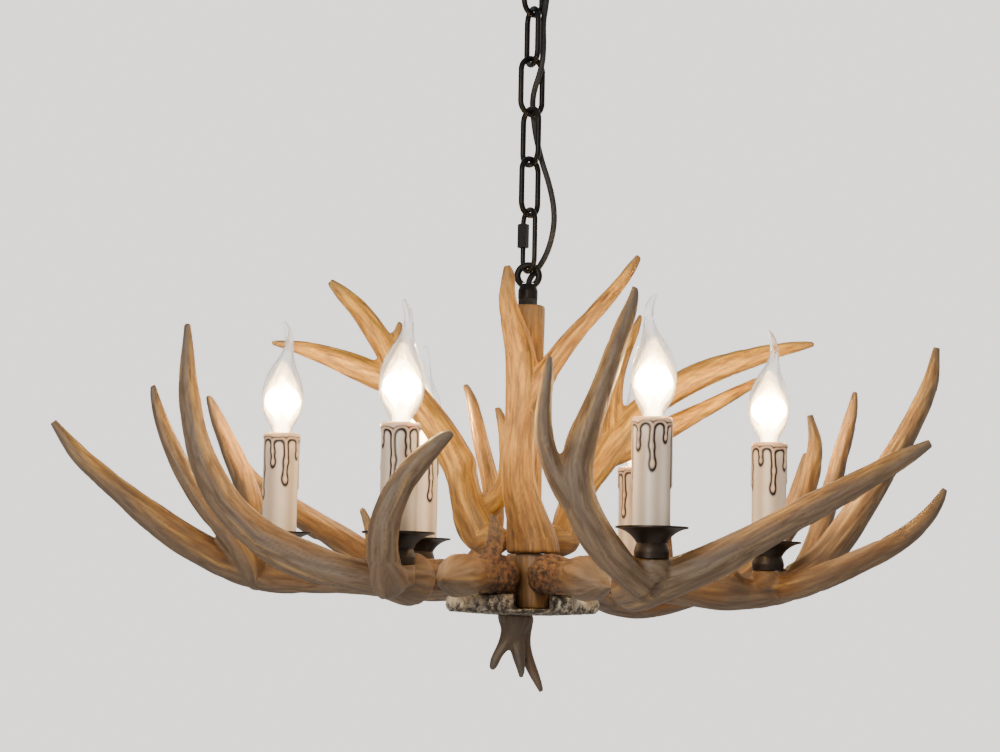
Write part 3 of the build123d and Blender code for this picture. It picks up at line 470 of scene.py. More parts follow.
def rounded(strand, steps=6):
    """More points on a strand, on a smooth curve through the ones that it has."""
    points = np.array(strand, float)
    ends = np.vstack([2 * points[0] - points[1], points, 2 * points[-1] - points[-2]])
    share = np.linspace(0, 1, steps, endpoint=False)[:, None]
    curve = []
    for a, b, c, d in zip(ends, ends[1:], ends[2:], ends[3:]):
        bend = 2 * a - 5 * b + 4 * c - d
        curve.append(b + 0.5 * share * (c - a + share * (bend + share * (3 * b - a - 3 * c + d))))
    return np.vstack([*curve, points[-1:]])


def add_horn(welded, strand, around=24):
    """Puts a plain horn on the last stretch of a strand, for the remesh to join with the rest."""
    points, radii, ways = as_lengths(rounded(strand))
    chosen = np.where(ways > ways[-1] - TIP_REACH)[0]
    sides = strand_sides(points)
    turns = np.linspace(0, 2 * np.pi, around, endpoint=False)
    rings = []
    for i in chosen:
        along = points[min(i + 1, len(points) - 1)] - points[i - 1]
        across = np.cross(along / np.linalg.norm(along), sides[i])
        ring = [sides[i] * np.cos(turn) + across * np.sin(turn) for turn in turns]
        rings.append([welded.verts.new(points[i] + radii[i] * arm) for arm in ring])
    join_rings(welded, rings)


def relaxed(piece, co, share, rounds):
    """Draws each point towards the middle of its neighbours, by a share of its own."""
    ends = np.zeros(len(piece.data.edges) * 2, int)
    piece.data.edges.foreach_get("vertices", ends)
    first, second = ends.reshape(-1, 2).T
    count = np.bincount(np.concatenate([first, second]), minlength=len(co))[:, None]
    for _ in range(rounds):
        total = np.zeros_like(co)
        for axis in range(3):
            total[:, axis] += np.bincount(first, co[second, axis], len(co))
            total[:, axis] += np.bincount(second, co[first, axis], len(co))
        co = co + (total / count - co) * share[:, None] * 0.5
    return co


def true_tip(skin, strands):
    """A CAD beam of many sections wavers at its end, so its last stretch is set on its strand."""
    co, _ = points_of(skin)
    others = np.array([measure(co, strand)[0] for strand in strands[1:]]).min(0)
    beam = rounded(strands[0])
    depth, way, _, _, length, _ = measure(co, beam)
    near_tip = eased(length - way, TIP_REACH, TIP_CERTAIN) * (depth < others)
    for _ in range(TIP_PASSES):
        depth, _, _, _, _, core = measure(co, beam)
        outward = co - core
        outward /= np.maximum(np.linalg.norm(outward, axis=1), 1e-6)[:, None]
        set_on = co - outward * (depth * near_tip)[:, None]
        co = relaxed(skin, set_on, near_tip, TIP_SMOOTHING)
    skin.data.vertices.foreach_set("co", set_on.ravel())
    skin.data.update()


print("tip helpers ready")

# %% [markdown]
# ## Carving
# The carving moves each point of the even skin along its own outward direction. How far is a sum:
# swells and furrows in the strand's own measures, lumps in plain space, and pearls near the burr.


# %% Remesh a CAD antler and carve it
def even_skin(name, node, voxel, rounds, horn=None):
    """A new piece with the CAD node's shape in small even faces, its creases melted."""
    mesh = nodes[node].data.copy()
    welded = bmesh.new()
    welded.from_mesh(mesh)
    bmesh.ops.remove_doubles(welded, verts=welded.verts, dist=1e-6)
    if horn:
        add_horn(welded, horn)
    welded.to_mesh(mesh)
    welded.free()
    rough = bpy.data.objects.new(name, mesh)
    bpy.context.collection.objects.link(rough)
    remesh = rough.modifiers.new("even", "REMESH")
    remesh.mode, remesh.voxel_size = "VOXEL", voxel
    smooth = rough.modifiers.new("melt", "SMOOTH")
    smooth.factor, smooth.iterations = 0.5, rounds
    depsgraph = bpy.context.evaluated_depsgraph_get()
    made = bpy.data.meshes.new_from_object(rough.evaluated_get(depsgraph))
    rough.modifiers.clear()
    rough.data = made
    made.materials.clear()
    made.polygons.foreach_set("use_smooth", [True] * len(made.polygons))
    return rough


def finish_piece(piece, co, material, body, stands_for):
    """Sets the carved points, the material and the body that the piece rides on."""
    piece.data.vertices.foreach_set("co", co.ravel())
    piece.data.update()
    piece.data.materials.append(material)
    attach(piece, body)
    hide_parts(*stands_for)


WAVERING_SLOTS = ("antler_arm", "antler_upper")
SKIN_VOXEL = 0.0017
MELTING_ROUNDS = 5
FORK_BLEND = 0.0022
ALONG_PER_ROUND = 0.11
FURROW_SPACING, FURROW_WIDTH, SWELL_SPACING, LUMP_SPACING = 0.0042, 0.17, 0.011, 0.03
PEARL_SPACING, PEARL_GRAIN = 0.0046, 0.0021
BURR_FROM, BURR_TO = 0.056, 0.1


def grow(name, node, strands, material, slot, furrow=0.7, pearl=2.2, seed=1, voxel=SKIN_VOXEL):
    """Carves one antler's skin. Furrow and pearl are depths in millimetres."""
    wavers = slot in WAVERING_SLOTS
    skin = even_skin(name, node, voxel, MELTING_ROUNDS, strands[0] if wavers else None)
    if wavers:
        true_tip(skin, strands)
    co, out = points_of(skin)
    measures = [measure(co, strand) for strand in strands]
    depth = np.array([m[0] for m in measures])
    share = np.exp(-(depth - depth.min(0)) / FORK_BLEND)
    share /= share.sum(0)
    nearest = depth.argmin(0)
    line, swell = np.zeros(len(co)), np.zeros(len(co))
    tip, grain = np.zeros(len(co)), np.zeros((len(co), 3))
    for i, (_, way, radius, angle, length, _) in enumerate(measures):
        near = np.where(share[i] > 0.04)[0]
        ring = np.stack([np.cos(angle), np.sin(angle)], 1) * radius[:, None]
        flow = np.column_stack([ring, way * ALONG_PER_ROUND])[near]
        wave = noise_at(flow / FURROW_SPACING, seed + i)
        fades = eased(length - way[near], 0.004, 0.05)
        line[near] += share[i, near] * np.exp(-((wave / FURROW_WIDTH) ** 2)) * fades
        swell[near] += share[i, near] * noise_at(flow / SWELL_SPACING, seed + i + 20) * fades
        mine = nearest[near] == i
        grain[near[mine]] = flow[mine] + np.array([0.05, 0.03, 0.02]) * i
        tip[near[mine]] = eased(length - way[near[mine]], 0.035, 0.0)
    hub_way = np.hypot(co[:, 0], co[:, 1])
    burr = 1 - eased(hub_way, BURR_FROM, BURR_TO) if pearl else np.zeros(len(co))
    beads = np.zeros(len(co))
    crowd = np.where(burr > 0.01)[0]
    beads[crowd] = [0.45 - noise.voronoi(Vector(co[i]) / PEARL_SPACING)[0][0] for i in crowd]
    beads[crowd] += 0.35 * noise_at(co[crowd] / PEARL_GRAIN, seed + 60)
    lumps = noise_at(co / LUMP_SPACING, seed + 40)
    move = (0.9 * swell - 1.1 * line) * furrow + 0.5 * lumps + 1.0 * beads * burr * pearl
    outward = co[:, :2] / np.maximum(hub_way, 0.02)[:, None]
    # Painted shade: faces that turn down, or outwards away from the middle of the lamp, are marked to be
    # painted grey brown.
    turned_away = 0.8 * -out[:, 2] + 0.75 * (out[:, :2] * outward).sum(1)
    keep(skin, "underside_shade", eased(turned_away + 0.25 * lumps, -0.35, 0.75))
    keep(skin, "furrow", line)
    keep(skin, "burr", burr)
    keep(skin, "bead", beads * burr)
    keep(skin, "tip", tip)
    keep(skin, "grain", grain * 100)
    finish_piece(skin, co + out * (move / 1000)[:, None], material, "fixture", [node])
    print(name, len(co), "points, deepest cut", round(float(move.min()), 2), "mm")


# %% [markdown]
# ## The antler's colour
# Bare antler is a pale honey brown. It has rubbed, lighter ridges and darker stain in the furrows. Faces
# that turn down and outwards are painted a cold grey brown as painted shade, with some grey patches at
# random. The burr is almost black between its pearls, and everything low down, by the hub, is painted darker
# and redder as painted shade. Every layer below is one mix, and each is steered by the measures that the
# carving kept. Hairs, streaks and broad bands are noises in the stretched place "grain", so they always run
# along their own tine.


# %% Antler finishes
# Painted shade low down: no darkening above the first height, full darkening below the second.
UNSHADED_HEIGHT, SHADED_HEIGHT = 0.15 - HUB_DROP, 0.03 - HUB_DROP


def antler_finish(name, honey, pale, stain, grey, grey_share=0.55):
    finish = Finish(name)
    place = finish.place()
    grain = finish.stored_place("grain")
    streaks = finish.clouds(grain, 3.4, 5.0, 0.62, 0.25)
    hairs = finish.clouds(grain, 15.0, 3.0, 0.6)
    patches = finish.clouds(place, 24.0, 3.0, 0.5)
    colour = finish.mix(streaks.between(0.36, 0.68), honey, pale)
    # Painted shade: darker and redder towards the hub, below the sleeves, where the bulbs' light falls less.
    painted_shade_low = finish.height(place).between(UNSHADED_HEIGHT, SHADED_HEIGHT)
    colour = finish.mix(painted_shade_low * 0.8, colour, (0.125, 0.05, 0.015, 1.0))
    # Painted shade on the faces turned down and outwards, plus random grey patches.
    shade_and_patches = (finish.stored("underside_shade") * 0.95 + patches.between(0.45, 0.7) * 0.35) * grey_share
    colour = finish.mix(shade_and_patches, colour, grey)
    fine = hairs.between(0.52, 0.3) * 0.4
    colour = finish.mix(fine, colour, stain)
    bands = finish.clouds(finish.stretched(grain, 1.0, 1.0, 0.45), 1.9, 2.0, 0.5)
    colour = finish.mix(bands.between(0.56, 0.74) * 0.4, colour, pale)
    dark_streaks = (streaks.between(0.44, 0.31) * 0.6).most(bands.between(0.47, 0.28) * 0.7)
    colour = finish.mix(dark_streaks, colour, stain)
    colour = finish.mix(finish.stored("furrow") * 0.52, colour, stain)
    burr = finish.stored("burr")
    earth = finish.clouds(place, 70.0, 4.0, 0.6)
    rust = (0.17, 0.062, 0.018, 1.0)
    colour = finish.mix(burr * earth.between(0.32, 0.56) * 0.85, colour, rust)
    crumbs = finish.clouds(place, 330.0, 3.0, 0.65)
    hollows = burr * (finish.stored("bead").between(0.2, -0.35) * 0.8 + crumbs.between(0.5, 0.36))
    colour = finish.mix(hollows * 0.9, colour, (0.022, 0.014, 0.009, 1.0))
    colour = finish.mix(finish.stored("tip") * 0.6, colour, (0.1, 0.075, 0.052, 1.0))
    relief = hairs * 0.5 + streaks * 0.7
    bumps = finish.bumps(relief, 0.45, 0.0006)
    gloss = 0.44 + 0.2 * hairs + 0.25 * burr - 0.1 * finish.stored("tip")
    shader = {"Base_Color": colour, "Roughness": gloss, "Normal": bumps}
    return finish.surface(**shader, IOR=1.5)


DARK_STAIN = (0.075, 0.038, 0.016, 1.0)
# The upper antlers and the column get brighter, more golden copies of the arms' colours and a smaller share
# of grey: painted light from the bulbs around them.
arm_finish = antler_finish(
    "arm antler", shade(166, 114, 48), shade(214, 166, 88), DARK_STAIN, shade(122, 102, 80), 1.0
)
upper_finish = antler_finish(
    "upper antler", shade(204, 138, 36), shade(242, 186, 72), DARK_STAIN, shade(120, 94, 56), 0.5
)
column_finish = antler_finish(
    "column antler", shade(200, 130, 38), shade(240, 180, 76), DARK_STAIN, shade(128, 98, 58), 0.35
)
finial_finish = antler_finish(
    "finial antler", shade(104, 86, 62), shade(146, 126, 94), DARK_STAIN, shade(72, 64, 52), 0.8
)
print("antler finishes ready")

# %% [markdown]
# ## Putting the antlers on
# Six arms carry the lamps, two more antlers rise behind the column, and the column itself is an
# upright tube with a forked trunk grown against its front. The short stub below the column and the
# finial under the burr plate are cut from the same stuff.

# %% Grow every antler
for number, (name, strands) in enumerate(ARM_STRANDS.items()):
    grow(f"grown_{name}", name, strands, arm_finish, "antler_arm", seed=3 + number)
for number, (name, strands) in enumerate(UPPER_STRANDS.items()):
    grow(f"grown_{name}", name, strands, upper_finish, "antler_upper", 0.6, 0, 31 + number)
grow("grown_column", "column_antler", COLUMN_STRANDS, column_finish, "antler_column", 0.6, 0, 51)
grow("grown_stub", "hub_stub", STUB_STRANDS, column_finish, "antler_column", 0.5, 0, 61)
grow("grown_finial", "finial_antler", FINIAL_STRANDS, finial_finish, "finial_antler", 0.5, 0, 71, 0.0014)

# %% [markdown]
# ## The burr plate
# Under the hub sits a slice of a shed antler's base: chalky on its face, with a rough rim of pearls
# whose gaps hold dark dirt. It gets the same even skin. Its rim is pushed out into pearls with a
# cell pattern, and its underside gets shallow furrows that run out from the middle.


# %% Carve the burr plate
def burr_plate():
    plate = even_skin("burr_plate", "rosette", 0.0013, 2)
    co, out = points_of(plate)
    reach = np.hypot(co[:, 0], co[:, 1])
    heading = np.arctan2(co[:, 1], co[:, 0])
    low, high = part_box("rosette")
    rim = eased(reach, 0.046, 0.060)
    depth = (high.z - co[:, 2]) / (high.z - low.z)
    cells = np.array([noise.voronoi(Vector(p) / 0.0031)[0][0] for p in co])
    grain = noise_at(co / 0.0016, 5) + noise_at(co / 0.006, 6)
    ring = np.column_stack([np.cos(heading), np.sin(heading), reach * 3]) * 7
    rays = noise_at(ring, 9)
    rough_rim = rim * (0.35 + 0.65 * eased(depth, 0.35, 0.9))
    move = rough_rim * (0.4 - cells) * 2.2 - rim * 0.3 + (1 - rim) * rays * 0.5 + 0.4 * grain
    keep(plate, "pit", eased(cells - 0.25 * grain, 0.45, 0.8) * rough_rim)
    keep(plate, "rim", rim)
    keep(plate, "depth", depth)
    # Darker specks at the front of the rim, in the middle.
    keep(plate, "front_middle", eased(-co[:, 1], 0.0, 0.03) * eased(np.abs(co[:, 0] - 0.004), 0.046, 0.03))
    finish = Finish("burr plate")
    place = finish.place()
    chalk = finish.clouds(place, 60.0, 5.0, 0.65)
    specks = finish.clouds(place, 260.0, 3.0, 0.6)
    colour = finish.mix(chalk.between(0.35, 0.65), shade(196, 186, 168), shade(142, 128, 106))
    low_rim = finish.stored("rim") * finish.stored("depth").between(0.45, 0.95)
    dark_marks = finish.stored("pit").between(0.1, 0.55) * 0.9
    dark_marks = dark_marks.most(low_rim * specks.between(0.62, 0.4) * 1.1)
    dark_marks = dark_marks.most(finish.stored("front_middle") * specks.between(0.7, 0.4))
    colour = finish.mix(dark_marks, colour, shade(44, 36, 28))
    bumps = finish.bumps(specks + chalk, 0.5, 0.0007)
    rough = 0.68 + 0.2 * chalk
    material = finish.surface(Base_Color=colour, Roughness=rough, Normal=bumps)
    finish_piece(plate, co + out * (move / 1000)[:, None], material, "fixture", ["rosette"])
    print("burr plate", len(co), "points")


burr_plate()

# %% [markdown]
# ## Candle sleeves
# A candle lamp's sleeve is a plastic tube dressed as a dripping candle. Wax has run over the top
# edge, hangs in arches, and trickles down in runs that end in drops, and a brown wash was wiped into
# the outlines. The wax layer is drawn on the tube's unrolled wall as distances to a band, to a few
# runs and to their drops. Joining those distances softly gives the arches by itself. Where the
# distance is negative the wall is thicker, and just outside that edge the wash has stayed.


# %% Draw the wax and wrap it round the tube
SLEEVE_RADIUS = 0.0145
SLEEVE_WALL = 0.002
ROUND, TALL = 240, 170
# Each run of wax: its angle round the tube, its length in millimetres, and its drop's radius.
WAX_RUNS = (
    (0, 44, 2.0), (47, 22, 1.6), (92, 36, 2.1), (135, 16, 1.5),
    (181, 50, 2.0), (226, 25, 1.7), (271, 39, 2.1), (316, 18, 1.5),
)
WAX_BAND = 5.6


def soft_join(first, second, width):
    """The smaller of two distances, rounded where they are equal."""
    share = np.clip(0.5 + 0.5 * (second - first) / width, 0, 1)
    return second * (1 - share) + first * share - width * share * (1 - share)


def wax_distance(heading, below, turned_by, drops):
    """Distance to the wax's edge in millimetres, negative inside the wax."""
    wobble = 0.5 * np.sin(heading * 3 + turned_by) + 0.35 * np.sin(heading * 7 + turned_by * 2)
    distance = below - WAX_BAND - wobble
    for angle, length, width in WAX_RUNS:
        away = heading - math.radians(angle) - turned_by
        away = (away + math.pi) % (2 * math.pi) - math.pi
        across = away * SLEEVE_RADIUS * 1000 + 0.4 * np.sin(below / 5 + angle)
        long = length * drops
        run = np.hypot(across, np.maximum(below - long, 0)) - width * 0.6
        distance = soft_join(distance, run, 4.6)
        for share, size in ((1.0, 1.0), (0.62, 0.85)):
            drop = np.hypot(across, (below - long * share) * 0.55) - width * size
            distance = soft_join(distance, drop, 1.2)
    return distance


def candle_sleeve(name, turned_by, drops):
    low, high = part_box(f"sleeve_{name}")
    middle = (low + high) / 2
    headings = np.linspace(0, 2 * math.pi, ROUND, endpoint=False)
    heights = np.linspace(0, 1, TALL) ** 0.75
    heading, height = np.meshgrid(headings, low.z + (high.z - low.z) * heights)
    below = (high.z - height) * 1000
    distance = wax_distance(heading, below, turned_by, drops)
    thick = eased(-distance, -0.15, 1.15)
    belly = np.exp(-((distance + 2.0) / 1.2) ** 2) * 0.25
    lip = eased(below, 1.6, 0.0) * 0.9
    # Shallow upright flutes in the wall; the same pattern is kept for painted reflection stripes in the
    # colour.
    flute_and_stripe_shade = 0.5 + 0.5 * np.sin(heading * 6 + turned_by * 3 + 0.9 * np.sin(heading * 2 + turned_by))
    flute_and_stripe_shade *= eased(below, 8, 20) * (1 - thick)
    radius = SLEEVE_RADIUS + (0.85 * thick + belly - lip - 0.35 * flute_and_stripe_shade) / 1000
    inner = np.full((2, ROUND), SLEEVE_RADIUS - SLEEVE_WALL)
    radius = np.vstack([radius, inner])
    heading = np.vstack([heading, heading[:2]])
    height = np.vstack([height, np.full((1, ROUND), high.z), np.full((1, ROUND), low.z)])
    spots = np.stack(
        [middle.x + radius * np.cos(heading), middle.y + radius * np.sin(heading), height], -1
    ).reshape(-1, 3)
    rows = TALL + 2
    faces = []
    for row in range(rows):
        above = (row + 1) % rows
        for i in range(ROUND):
            j = (i + 1) % ROUND
            faces.append((row * ROUND + i, row * ROUND + j, above * ROUND + j, above * ROUND + i))
    mesh = bpy.data.meshes.new(f"wax_{name}")
    mesh.from_pydata(spots.tolist(), [], faces)
    sleeve = put_in_scene(f"wax_sleeve_{name}", mesh)
    wash = np.exp(-(((distance - 0.5) / 0.85) ** 2)) * eased(below, 2.0, 4.5)
    arches = np.exp(-(((distance + 2.0) / 0.5) ** 2)) * eased(below, 2.0, 4.0) * eased(below, 22, 12)
    wash = np.maximum(wash, 0.75 * arches)
    extra = np.zeros(2 * ROUND)
    keep(sleeve, "wash", np.concatenate([wash.ravel(), extra]))
    keep(sleeve, "wax", np.concatenate([thick.ravel(), extra]))
    keep(sleeve, "flute_and_stripe_shade", np.concatenate([flute_and_stripe_shade.ravel(), extra]))
    finish_piece(sleeve, spots, sleeve_finish, "fixture", [f"sleeve_{name}"])


def wax_finish():
    finish = Finish("candle wax")
    place = finish.place()
    mottle = finish.clouds(place, 55.0, 4.0, 0.6)
    scuffs = finish.clouds(finish.stretched(place, 1.0, 1.0, 0.25), 300.0, 3.0, 0.6)
    # Warm cream tube and deeper peach on the thick wax near the top: partly the wax's own tone, partly
    # painted warm light from the bulbs.
    colour = finish.mix(finish.stored("wax"), shade(250, 230, 206), shade(246, 208, 168))
    colour = finish.mix(mottle.between(0.5, 0.75) * 0.35, colour, shade(232, 204, 170))
    # Painted reflection: darker upright stripes along the flutes, the dark bands of a glossy tube.
    colour = finish.mix(finish.stored("flute_and_stripe_shade") * 0.55, colour, shade(186, 158, 130))
    wash = finish.stored("wash") * (1.15 + 0.5 * scuffs)
    colour = finish.mix(wash, colour, shade(38, 16, 8))
    bumps = finish.bumps(mottle * 0.8 + scuffs * 0.2, 0.25, 0.0005)
    rough = 0.24 + 0.25 * mottle
    return finish.surface(
        Base_Color=colour,
        Roughness=rough,
        Normal=bumps,
        Subsurface_Weight=0.12,
        Subsurface_Scale=0.004,
    )


sleeve_finish = wax_finish()
LAMPS = ("left", "front_left", "back_left", "front_right", "back_right", "right")
for number, name in enumerate(LAMPS):
    candle_sleeve(name, 0.35 + number * 0.9, 1.0 - 0.06 * (number % 3))
print("six candle sleeves")

# %% [markdown]
# ## Metal, paint and plastic
# The dishes are steel, painted a bronze that is nearly black; the real ones are rubbed brown on the rim, and
# here the brown rubbing lies in soft patches. The chain, the eye and the canopy have the same paint with an
# oiled look. Their CAD shapes are right, so they only get materials: a soft cloud for the brushed-on colour,
# and a fine grain for the bump.


# %% Painted metal and its wear
def painted_metal(name, base, worn, roughness, metal=0.75, wear_share=0.35):
    finish = Finish(name)
    place = finish.place()
    clouds = finish.clouds(place, 45.0, 4.0, 0.6)
    fine = finish.clouds(place, 420.0, 3.0, 0.6)
    colour = finish.mix(clouds.between(0.42, 0.7) * wear_share, base, worn)
    colour = finish.mix(fine.between(0.62, 0.74) * 0.3, colour, worn)
    bumps = finish.bumps(fine + clouds, 0.3, 0.0004)
    rough = roughness + 0.22 * (clouds - 0.5) + 0.12 * (fine - 0.5)
    return finish.surface(Base_Color=colour, Roughness=rough, Metallic=metal, Normal=bumps)


dish_paint = painted_metal("bronze paint", shade(48, 40, 34), shade(92, 70, 50), 0.42, 0.7)
chain_paint = painted_metal("black iron", shade(30, 28, 26), shade(66, 58, 48), 0.38, 0.8, 0.25)
canopy_paint = painted_metal("canopy paint", shade(40, 34, 29), shade(70, 56, 42), 0.4, 0.7)
zinc = painted_metal("zinc plate", shade(168, 168, 164), shade(128, 126, 120), 0.32, 1.0)
brass = painted_metal("lamp cap brass", shade(206, 172, 104), shade(150, 116, 60), 0.3, 1.0)
holder_plastic = painted_metal("holder plastic", shade(26, 24, 23), shade(44, 40, 37), 0.5, 0.0)

wear([f"dish_{name}" for name in LAMPS], dish_paint)
wear([f"chain_link_{i}" for i in range(1, 6)], chain_paint)
wear(["quick_link", "quick_link_nut", "eye", "lock_nut", "canopy_loop"], chain_paint)
wear(["canopy", "canopy_ring_nut"], canopy_paint)
wear(["cross_bar", "canopy_nipple", "threaded_rod", "studs"], zinc)
wear(["lamp_holders"], holder_plastic)
wear([f"bulb_cap_{name}" for name in LAMPS], brass)

# %% [markdown]
# ## The lit bulbs
# Each bulb is clear glass, drawn up into a bent tip like a flame. Inside, a glass stem carries four
# upright filaments. They are lit, and so bright that the photograph shows them as one white flame
# that fades outwards. A renderer shows thin bright wires as thin bright wires. The camera's glare is
# made as nested shells of faint glowing haze round the filaments, which add up to a soft core from
# any side. A small warm lamp in each bulb lights the antlers around it.


# %% Glass, filaments and glow
def clear_glass():
    finish = Finish("bulb glass")
    haze = finish.clouds(finish.place(), 60.0, 2.0, 0.5)
    return finish.surface(
        Base_Color=(1.0, 0.985, 0.96, 1.0),
        Roughness=0.015 + 0.03 * haze,
        IOR=1.45,
        Transmission_Weight=1.0,
        Alpha=0.5 + 0.1 * haze,
    )


def glowing(name, colour, strength, alpha):
    finish = Finish(name)
    even = finish.clouds(finish.place(), 40.0, 2.0, 0.5)
    light = finish.mix(even * 0.5, colour, (1.0, 0.93, 0.8, 1.0))
    return finish.surface(
        Base_Color=(1.0, 0.9, 0.75, 1.0),
        Roughness=0.6,
        Emission_Color=light,
        Emission_Strength=strength,
        Alpha=alpha,
    )


def spun(name, outline, middle, around=40):
    """A closed piece turned about an upright line, from (radius, height) in millimetres."""
    shape = bmesh.new()
    rings = []
    for radius, height in outline:
        ring = []
        for i in range(around):
            angle = 2 * math.pi * i / around
            across = Vector((math.cos(angle), math.sin(angle), 0)) * radius / 1000
            ring.append(shape.verts.new(middle + across + Vector((0, 0, height / 1000))))
        rings.append(ring)
    join_rings(shape, rings)
    return finished(name, shape)


# Outlines are (radius, height) in millimetres, above the glass's foot for the glows and about the
# flame's middle for the stem and the sticks. A glow is its outline, colour, strength and opacity.
CORE = ((4.6, 0.8), (4.8, 8), (6.4, 13), (9.4, 18), (10.8, 25), (9.6, 32), (6.6, 38), (3.4, 43), (1, 47))
HALO = ((5.4, 0.8), (6.2, 7), (9, 13), (12, 19), (13.2, 26), (11.8, 34), (8.2, 41), (4.6, 47), (1.5, 52))
RIM = ((6.4, 0.8), (7.4, 6), (11.6, 13), (14.8, 21), (15.8, 27), (14, 36), (10.2, 45), (6, 53), (2, 60))
STEM = ((5.2, -27), (4.2, -24), (2.6, -19), (1.7, -14), (1.5, 10), (1.9, 14), (1.2, 17))
STICK = ((0.5, -14), (0.75, -13), (0.75, 13), (0.5, 14))
GLOWS = (
    (CORE, (1.0, 0.9, 0.66, 1.0), 9.0, 0.62),
    (HALO, (1.0, 0.8, 0.36, 1.0), 1.7, 0.2),
    (RIM, (1.0, 0.8, 0.3, 1.0), 1.25, 0.13),
)
FILAMENTS, FILAMENT_CIRCLE = 4, 0.0032
FLAME_HEIGHT = 0.028
BULB_POWER = 16.0
glass = clear_glass()
wear([f"bulb_glass_{name}" for name in LAMPS], glass)
glow_finishes = [
    glowing(f"glow {i}", colour, strength, alpha) for i, (_, colour, strength, alpha) in enumerate(GLOWS)
]
filament_finish = glowing("filament", (1.0, 0.86, 0.6, 1.0), 30.0, 1.0)
stem_finish = clear_glass()


def inside_bulb(piece, finish, body):
    """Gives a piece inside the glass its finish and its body."""
    piece.data.materials.append(finish)
    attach(piece, body)


def light_bulb(name):
    low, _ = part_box(f"bulb_glass_{name}")
    cap_low, cap_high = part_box(f"bulb_cap_{name}")
    foot = (cap_low + cap_high) / 2
    foot.z = low.z
    centre = foot + Vector((0, 0, FLAME_HEIGHT))
    body = f"bulb_{name}"
    for i, (outline, _, _, _) in enumerate(GLOWS):
        inside_bulb(spun(f"glow_{name}_{i}", outline, foot), glow_finishes[i], body)
    for i in range(FILAMENTS):
        angle = 2 * math.pi * i / FILAMENTS + 0.4
        middle = centre + Vector((math.cos(angle), math.sin(angle), 0)) * FILAMENT_CIRCLE
        inside_bulb(spun(f"filament_{name}_{i}", STICK, middle, 10), filament_finish, body)
    inside_bulb(spun(f"stem_{name}", STEM, centre, 20), stem_finish, body)
    lamp = bpy.data.lights.new(f"lamp_{name}", "POINT")
    lamp.energy, lamp.color, lamp.shadow_soft_size = BULB_POWER, (1.0, 0.71, 0.34), 0.012
    holder = bpy.data.objects.new(f"lamp_{name}", lamp)
    bpy.context.collection.objects.link(holder)
    holder.location = centre


for name in LAMPS:
    light_bulb(name)
print("six bulbs lit,", len(GLOWS), "shells of glow each")

# %% [markdown]
# ## The cord
# The cord comes down through the canopy, is laced loosely along the chain, and ends in the eye. It is one
# smooth line, drawn as a NURBS curve through a few listed points. The chain swings link by link, so the cord
# is skinned as seven stretches that meet inside the links.

# %% Lay the cord
CORD_RADIUS = 0.0025
HINGE_REACH = 0.014
# The route and the cuts are in millimetres above the hub.
CORD_ROUTE = (
    (24.0, 0.0, 576.0),
    (24.0, 0.0, 561.0),
    (20.0, 2.5, 543.0),
    (12.9, 3.7, 524.8),
    (10.8, 1.5, 503.9),
    (8.7, -1.3, 489.1),
    (9.7, -3.5, 468.4),
    (8.4, -2.7, 449.9),
    (0.9, 4.9, 428.7),
    (1.5, 10.6, 412.7),
    (4.5, 10.0, 392.5),
    (9.9, -0.7, 369.0),
    (15.6, -2.4, 352.6),
    (20.6, 1.0, 332.9),
    (21.3, 3.5, 314.1),
    (16.4, 8.1, 294.0),
    (8.2, 7.3, 278.8),
    (1.6, 3.8, 271.1),
    (0.0, 0.4, 264.0),
    (0.0, 0.0, 255.0),
)
CORD_CUTS = (521.0, 477.5, 434.0, 391.0, 347.5, 302.0)
CHAIN_BODIES = ("ceiling", "link_1", "link_2", "link_3", "link_4", "link_5", "quick_link", "fixture")


def cord_line():
    """Points close together along the cord's NURBS line, in metres."""
    curve = bpy.data.curves.new("cord_line", "CURVE")
    curve.dimensions = "3D"
    curve.resolution_u = 24
    spline = curve.splines.new("NURBS")
    spline.points.add(len(CORD_ROUTE) - 1)
    for point, (x, y, z) in zip(spline.points, CORD_ROUTE):
        point.co = (x / 1000, y / 1000, z / 1000 - HUB_DROP, 1)
    spline.order_u = 3
    spline.use_endpoint_u = True
    holder = bpy.data.objects.new("cord_line", curve)
    bpy.context.collection.objects.link(holder)
    bpy.context.view_layer.update()
    mesh = bpy.data.meshes.new_from_object(holder.evaluated_get(bpy.context.evaluated_depsgraph_get()))
    line = [v.co.copy() for v in mesh.vertices]
    bpy.data.objects.remove(holder)
    return line


def tube(name, line, radius, around=20):
    """A round skin along a line of points, closed at both ends."""
    shape = bmesh.new()
    side = Vector((1, 0, 0))
    rings = []
    for i, point in enumerate(line):
        along = (line[min(i + 1, len(line) - 1)] - line[max(i - 1, 0)]).normalized()
        side = (side - along * side.dot(along)).normalized()
        across = along.cross(side)
        ring = []
        for k in range(around):
            angle = 2 * math.pi * k / around
            out = side * math.cos(angle) + across * math.sin(angle)
            ring.append(shape.verts.new(point + out * radius))
        rings.append(ring)
    join_rings(shape, rings)
    bmesh.ops.recalc_face_normals(shape, faces=shape.faces)
    return finished(name, shape)


def sheath():
    finish = Finish("cord sheath")
    place = finish.place()
    weave = finish.clouds(finish.stretched(place, 1, 1, 0.35), 900.0, 2.0, 0.5)
    dust = finish.clouds(place, 80.0, 3.0, 0.6)
    colour = finish.mix(dust.between(0.45, 0.8) * 0.5, shade(24, 22, 21), shade(58, 54, 49))
    bumps = finish.bumps(weave, 0.3, 0.0004)
    return finish.surface(Base_Color=colour, Roughness=0.48 + 0.2 * weave, Normal=bumps)


def cut_line(line, top, bottom):
    """The part of the line between two heights, with a point put in exactly at each cut."""
    part = []
    for before, after in zip(line, line[1:]):
        for height in (top, bottom):
            if before.z >= height > after.z:
                share = (before.z - height) / (before.z - after.z)
                part.append(before.lerp(after, share))
        if bottom < after.z < top:
            part.append(after)
    return sorted(part, key=lambda p: -p.z)


